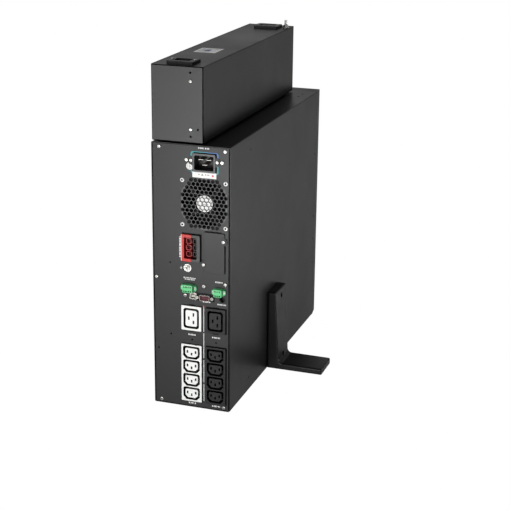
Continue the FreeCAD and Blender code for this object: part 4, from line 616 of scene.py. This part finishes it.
def fan_label():
    seat = -low("fan_frame").y / MM - 1.0
    hub = (22.0, 345.6)
    piece("fan_hub_label", [circle(*hub, 13.3, 64)], REAR_SIDE, seat + 0.02, 0.25, label_white)
    piece("fan_hub_label_marks", [(circle(*hub, 11.6, 64), circle(*hub, 11.1, 64))] +
          text_bars(15.0, 29.0, 349.0, 1.4) + text_bars(16.5, 27.5, 345.0, 1.2) +
          text_bars(16.0, 28.0, 341.6, 1.2), REAR_SIDE, seat + 0.27, PRINT, print_grey)


def module_label():
    """The rating sticker on the module's lid, with rules instead of text."""
    x0, x1, y0, y1 = -45.0, -7.5, -124.0, -81.5
    piece("module_sticker", [round_rectangle(x0, x1, y0, y1, 1.0)], TOP_SIDE, LID_TOP - 0.03, PAPER + 0.03,
          label_foil, "filter_module")
    lines = []
    for i, right in enumerate((-11.0, -14.0, -22.0, -12.0, -18.0, -20.0)):
        lines += text_bars(x0 + 4.0, right, y1 - 6.0 - 5.6 * i, 1.7, (4.0, 2.4, 5.2))
    piece("module_sticker_marks", lines, TOP_SIDE, LID_TOP + PAPER, PRINT, print_grey, "filter_module")
    piece("module_sticker_spot", [circle(-27.5, -104.0, 5.4)], TOP_SIDE, LID_TOP + PAPER, PRINT, print_blue,
          "filter_module")


def display_contents():
    """Lit area, bar graphs and figures of the screen, laid on the window's face."""
    width, bottom, top = 28.4, 332.6, 387.4
    piece("screen_area", [round_rectangle(-width, width, bottom, top, 1.0)], FRONT_SIDE, FACE - 0.02, 0.08,
          screen_blue, "display_head")
    marks = []
    for column in (-1, 1):
        for i in range(5):
            z = 338.0 + 5.0 * i
            wide = 4.0 + 1.2 * i
            marks.append(rectangle(column * 20 - wide / 2, column * 20 + wide / 2, z, z + 3.4))
    for i, digit in enumerate((-8.6, -2.9, 2.9, 8.6)):
        left, right, mid = digit - 1.9, digit + 1.9, 352.0
        marks += [bar(left, mid + 5, right, mid + 5, 0.9), bar(left, mid, right, mid, 0.9),
                  bar(left, mid - 5, right, mid - 5, 0.9), bar(right, mid + 0.8, right, mid + 4.2, 0.9),
                  bar(right, mid - 4.2, right, mid - 0.8, 0.9)]
        if i % 2:
            marks.append(bar(left, mid + 0.8, left, mid + 4.2, 0.9))
    marks += text_bars(-9.5, 9.5, 341.6, 1.8)
    marks += [rectangle(-25.0, -18.0, 374.5, 382.5), bar(-17.6, 378.5, -6.0, 378.5, 0.8)]
    marks += [rectangle(-5.0, 5.0, 374.0, 383.0), bar(5.4, 378.5, 17.6, 378.5, 0.8),
              rectangle(18.0, 25.0, 374.5, 382.5)]
    piece("screen_marks", marks, FRONT_SIDE, FACE + 0.06, 0.05, screen_white, "display_head")


def button_marks():
    z = middle("menu_button_1").z / MM
    front = high("menu_button_1").y / MM
    for number in range(1, 5):
        name = "menu_button_%d" % number
        x = -middle(name).x / MM
        shapes = {1: [bar(x - 1.6, z + 1.6, x + 1.6, z - 1.6, 0.6),
                      bar(x - 1.6, z - 1.6, x + 1.6, z + 1.6, 0.6)],
                  2: [[(x - 2.0, z - 1.3), (x + 2.0, z - 1.3), (x, z + 1.8)]],
                  3: [[(x, z - 1.8), (x + 2.0, z + 1.3), (x - 2.0, z + 1.3)]],
                  4: [bar(x - 2.0, z - 0.2, x - 0.5, z - 1.6, 0.6),
                      bar(x - 0.7, z - 1.6, x + 2.0, z + 1.6, 0.6)]}
        piece(name + "_mark", shapes[number], FRONT_SIDE, front - 0.03, 0.08, print_white, name)
    x, z = 0.0, middle("power_button").z / MM
    front = high("power_button").y / MM
    arc = (circle(x, z, 4.2, 30, 120, 420), circle(x, z, 3.4, 30, 120, 420))
    piece("power_button_mark", [bar(x, z + 0.6, x, z + 4.6, 0.8)], FRONT_SIDE, front - 0.03, 0.08,
          print_white, "power_button")
    segments = []
    for i in range(len(arc[0]) - 1):
        segments.append([arc[0][i], arc[0][i + 1], arc[1][i + 1], arc[1][i]])
    piece("power_button_arc", segments, FRONT_SIDE, front - 0.03, 0.08, print_white, "power_button")


rear_panel_prints()
painted_shadow_strips()
fan_label()
module_label()
display_contents()
button_marks()


# ---------------------------------------------------------------- camera, light and floor
CAMERA_PLACE = (0.7038, -2.0336, 0.8933)
CAMERA_YAW = 18.55
CAMERA_PITCH = 18.27
CAMERA_ROLL = 0.60
FOCAL_PIXELS = 1283.7
FRAME_PIXELS = 510
SENSOR = 36.0


def place_camera():
    yaw, pitch, roll = (math.radians(value) for value in (CAMERA_YAW, CAMERA_PITCH, CAMERA_ROLL))
    ahead = Vector((-math.sin(yaw) * math.cos(pitch), math.cos(yaw) * math.cos(pitch), -math.sin(pitch)))
    level = Vector((math.cos(yaw), math.sin(yaw), 0))
    upward = level.cross(ahead)
    right = level * math.cos(roll) + upward * math.sin(roll)
    top = upward * math.cos(roll) - level * math.sin(roll)
    data = bpy.data.cameras.new("camera")
    data.sensor_width = SENSOR
    data.lens = FOCAL_PIXELS * SENSOR / FRAME_PIXELS
    data.clip_end = 50
    camera = bpy.data.objects.new("camera", data)
    turn = Matrix((right, top, -ahead)).transposed().to_4x4()
    camera.matrix_world = Matrix.Translation(CAMERA_PLACE) @ turn
    bpy.context.scene.collection.objects.link(camera)
    bpy.context.scene.camera = camera


def area_light(name, place, target, size, power):
    data = bpy.data.lights.new(name, "AREA")
    data.shape = "RECTANGLE"
    data.size, data.size_y = size
    data.energy = power
    light = bpy.data.objects.new(name, data)
    light.location = place
    light.rotation_euler = (Vector(target) - Vector(place)).to_track_quat("-Z", "Y").to_euler()
    light.visible_camera = False
    bpy.context.scene.collection.objects.link(light)


# soft lights of the studio's walls: direction they come from, how narrow they are, strength
WALL_LIGHTS = [((-0.35, 0.90, 0.25), 0.55, 0.438),
               ((-0.10, -1.0, 0.10), 0.70, 1.224),
               ((-0.50, -0.60, 0.70), 0.70, 0.463)]
FLOOR_GLOW = 0.247
FLOOR_GREY = 0.5


def camera_white(tree, other, output):
    """Shows plain white to the camera and lights the object with the other shader."""
    on_material = output.bl_idname.endswith("Material")
    shown = node(tree, "ShaderNodeEmission" if on_material else "ShaderNodeBackground")
    shown.inputs["Color"].default_value = (1, 1, 1, 1)
    shown.inputs["Strength"].default_value = 1.0
    mixed = node(tree, "ShaderNodeMixShader")
    tree.links.new(node(tree, "ShaderNodeLightPath").outputs["Is Camera Ray"], mixed.inputs["Fac"])
    tree.links.new(other, mixed.inputs[1])
    tree.links.new(shown.outputs[0], mixed.inputs[2])
    tree.links.new(mixed.outputs[0], output.inputs["Surface"])


def studio_walls():
    world = bpy.data.worlds.new("studio")
    world.use_nodes = True
    tree = world.node_tree
    place = node(tree, "ShaderNodeTexCoord").outputs["Generated"]
    total = None
    for direction, cutoff, strength in WALL_LIGHTS:
        facing = node(tree, "ShaderNodeVectorMath", operation="DOT_PRODUCT")
        tree.links.new(place, facing.inputs[0])
        facing.inputs[1].default_value = Vector(direction).normalized()
        lobe = math_node(tree, "MAXIMUM", math_node(tree, "SUBTRACT", facing.outputs["Value"], cutoff), 0.0)
        lobe = math_node(tree, "MULTIPLY", lobe, strength / (1 - cutoff))
        total = lobe if total is None else math_node(tree, "ADD", total, lobe)
    walls = tree.nodes["Background"]
    walls.inputs["Color"].default_value = (1, 1, 1, 1)
    tree.links.new(total, walls.inputs["Strength"])
    camera_white(tree, walls.outputs[0], tree.nodes["World Output"])
    bpy.context.scene.world = world


def studio_floor():
    mesh = bpy.data.meshes.new("floor")
    size = 12.0
    corners = [(-size, -size, 0), (size, -size, 0), (size, size, 0), (-size, size, 0)]
    mesh.from_pydata(corners, [], [(0, 1, 2, 3)])
    floor = bpy.data.objects.new("floor", mesh)
    floor.location.z = -0.0005
    bpy.context.scene.collection.objects.link(floor)
    material, tree, shader = new_material("floor")
    shader.inputs["Base Color"].default_value = (FLOOR_GREY, FLOOR_GREY, FLOOR_GREY, 1)
    shader.inputs["Roughness"].default_value = 0.9
    shader.inputs["Specular IOR Level"].default_value = 0.0
    shader.inputs["Emission Color"].default_value = (1, 1, 1, 1)
    shader.inputs["Emission Strength"].default_value = FLOOR_GLOW
    camera_white(tree, shader.outputs[0], tree.nodes["Material Output"])
    mesh.materials.append(material)


def studio():
    studio_walls()
    studio_floor()
    area_light("low_rear_light", (0.0, -1.2, 0.02), (0.0, -0.8, 0.5), (0.8, 0.8), 20.0)
    area_light("low_right_light", (0.9, 0.3, 0.02), (0.8, 0.3, 0.5), (0.8, 1.6), 43.5)
    bpy.context.scene.view_settings.view_transform = "Standard"


place_camera()
studio()
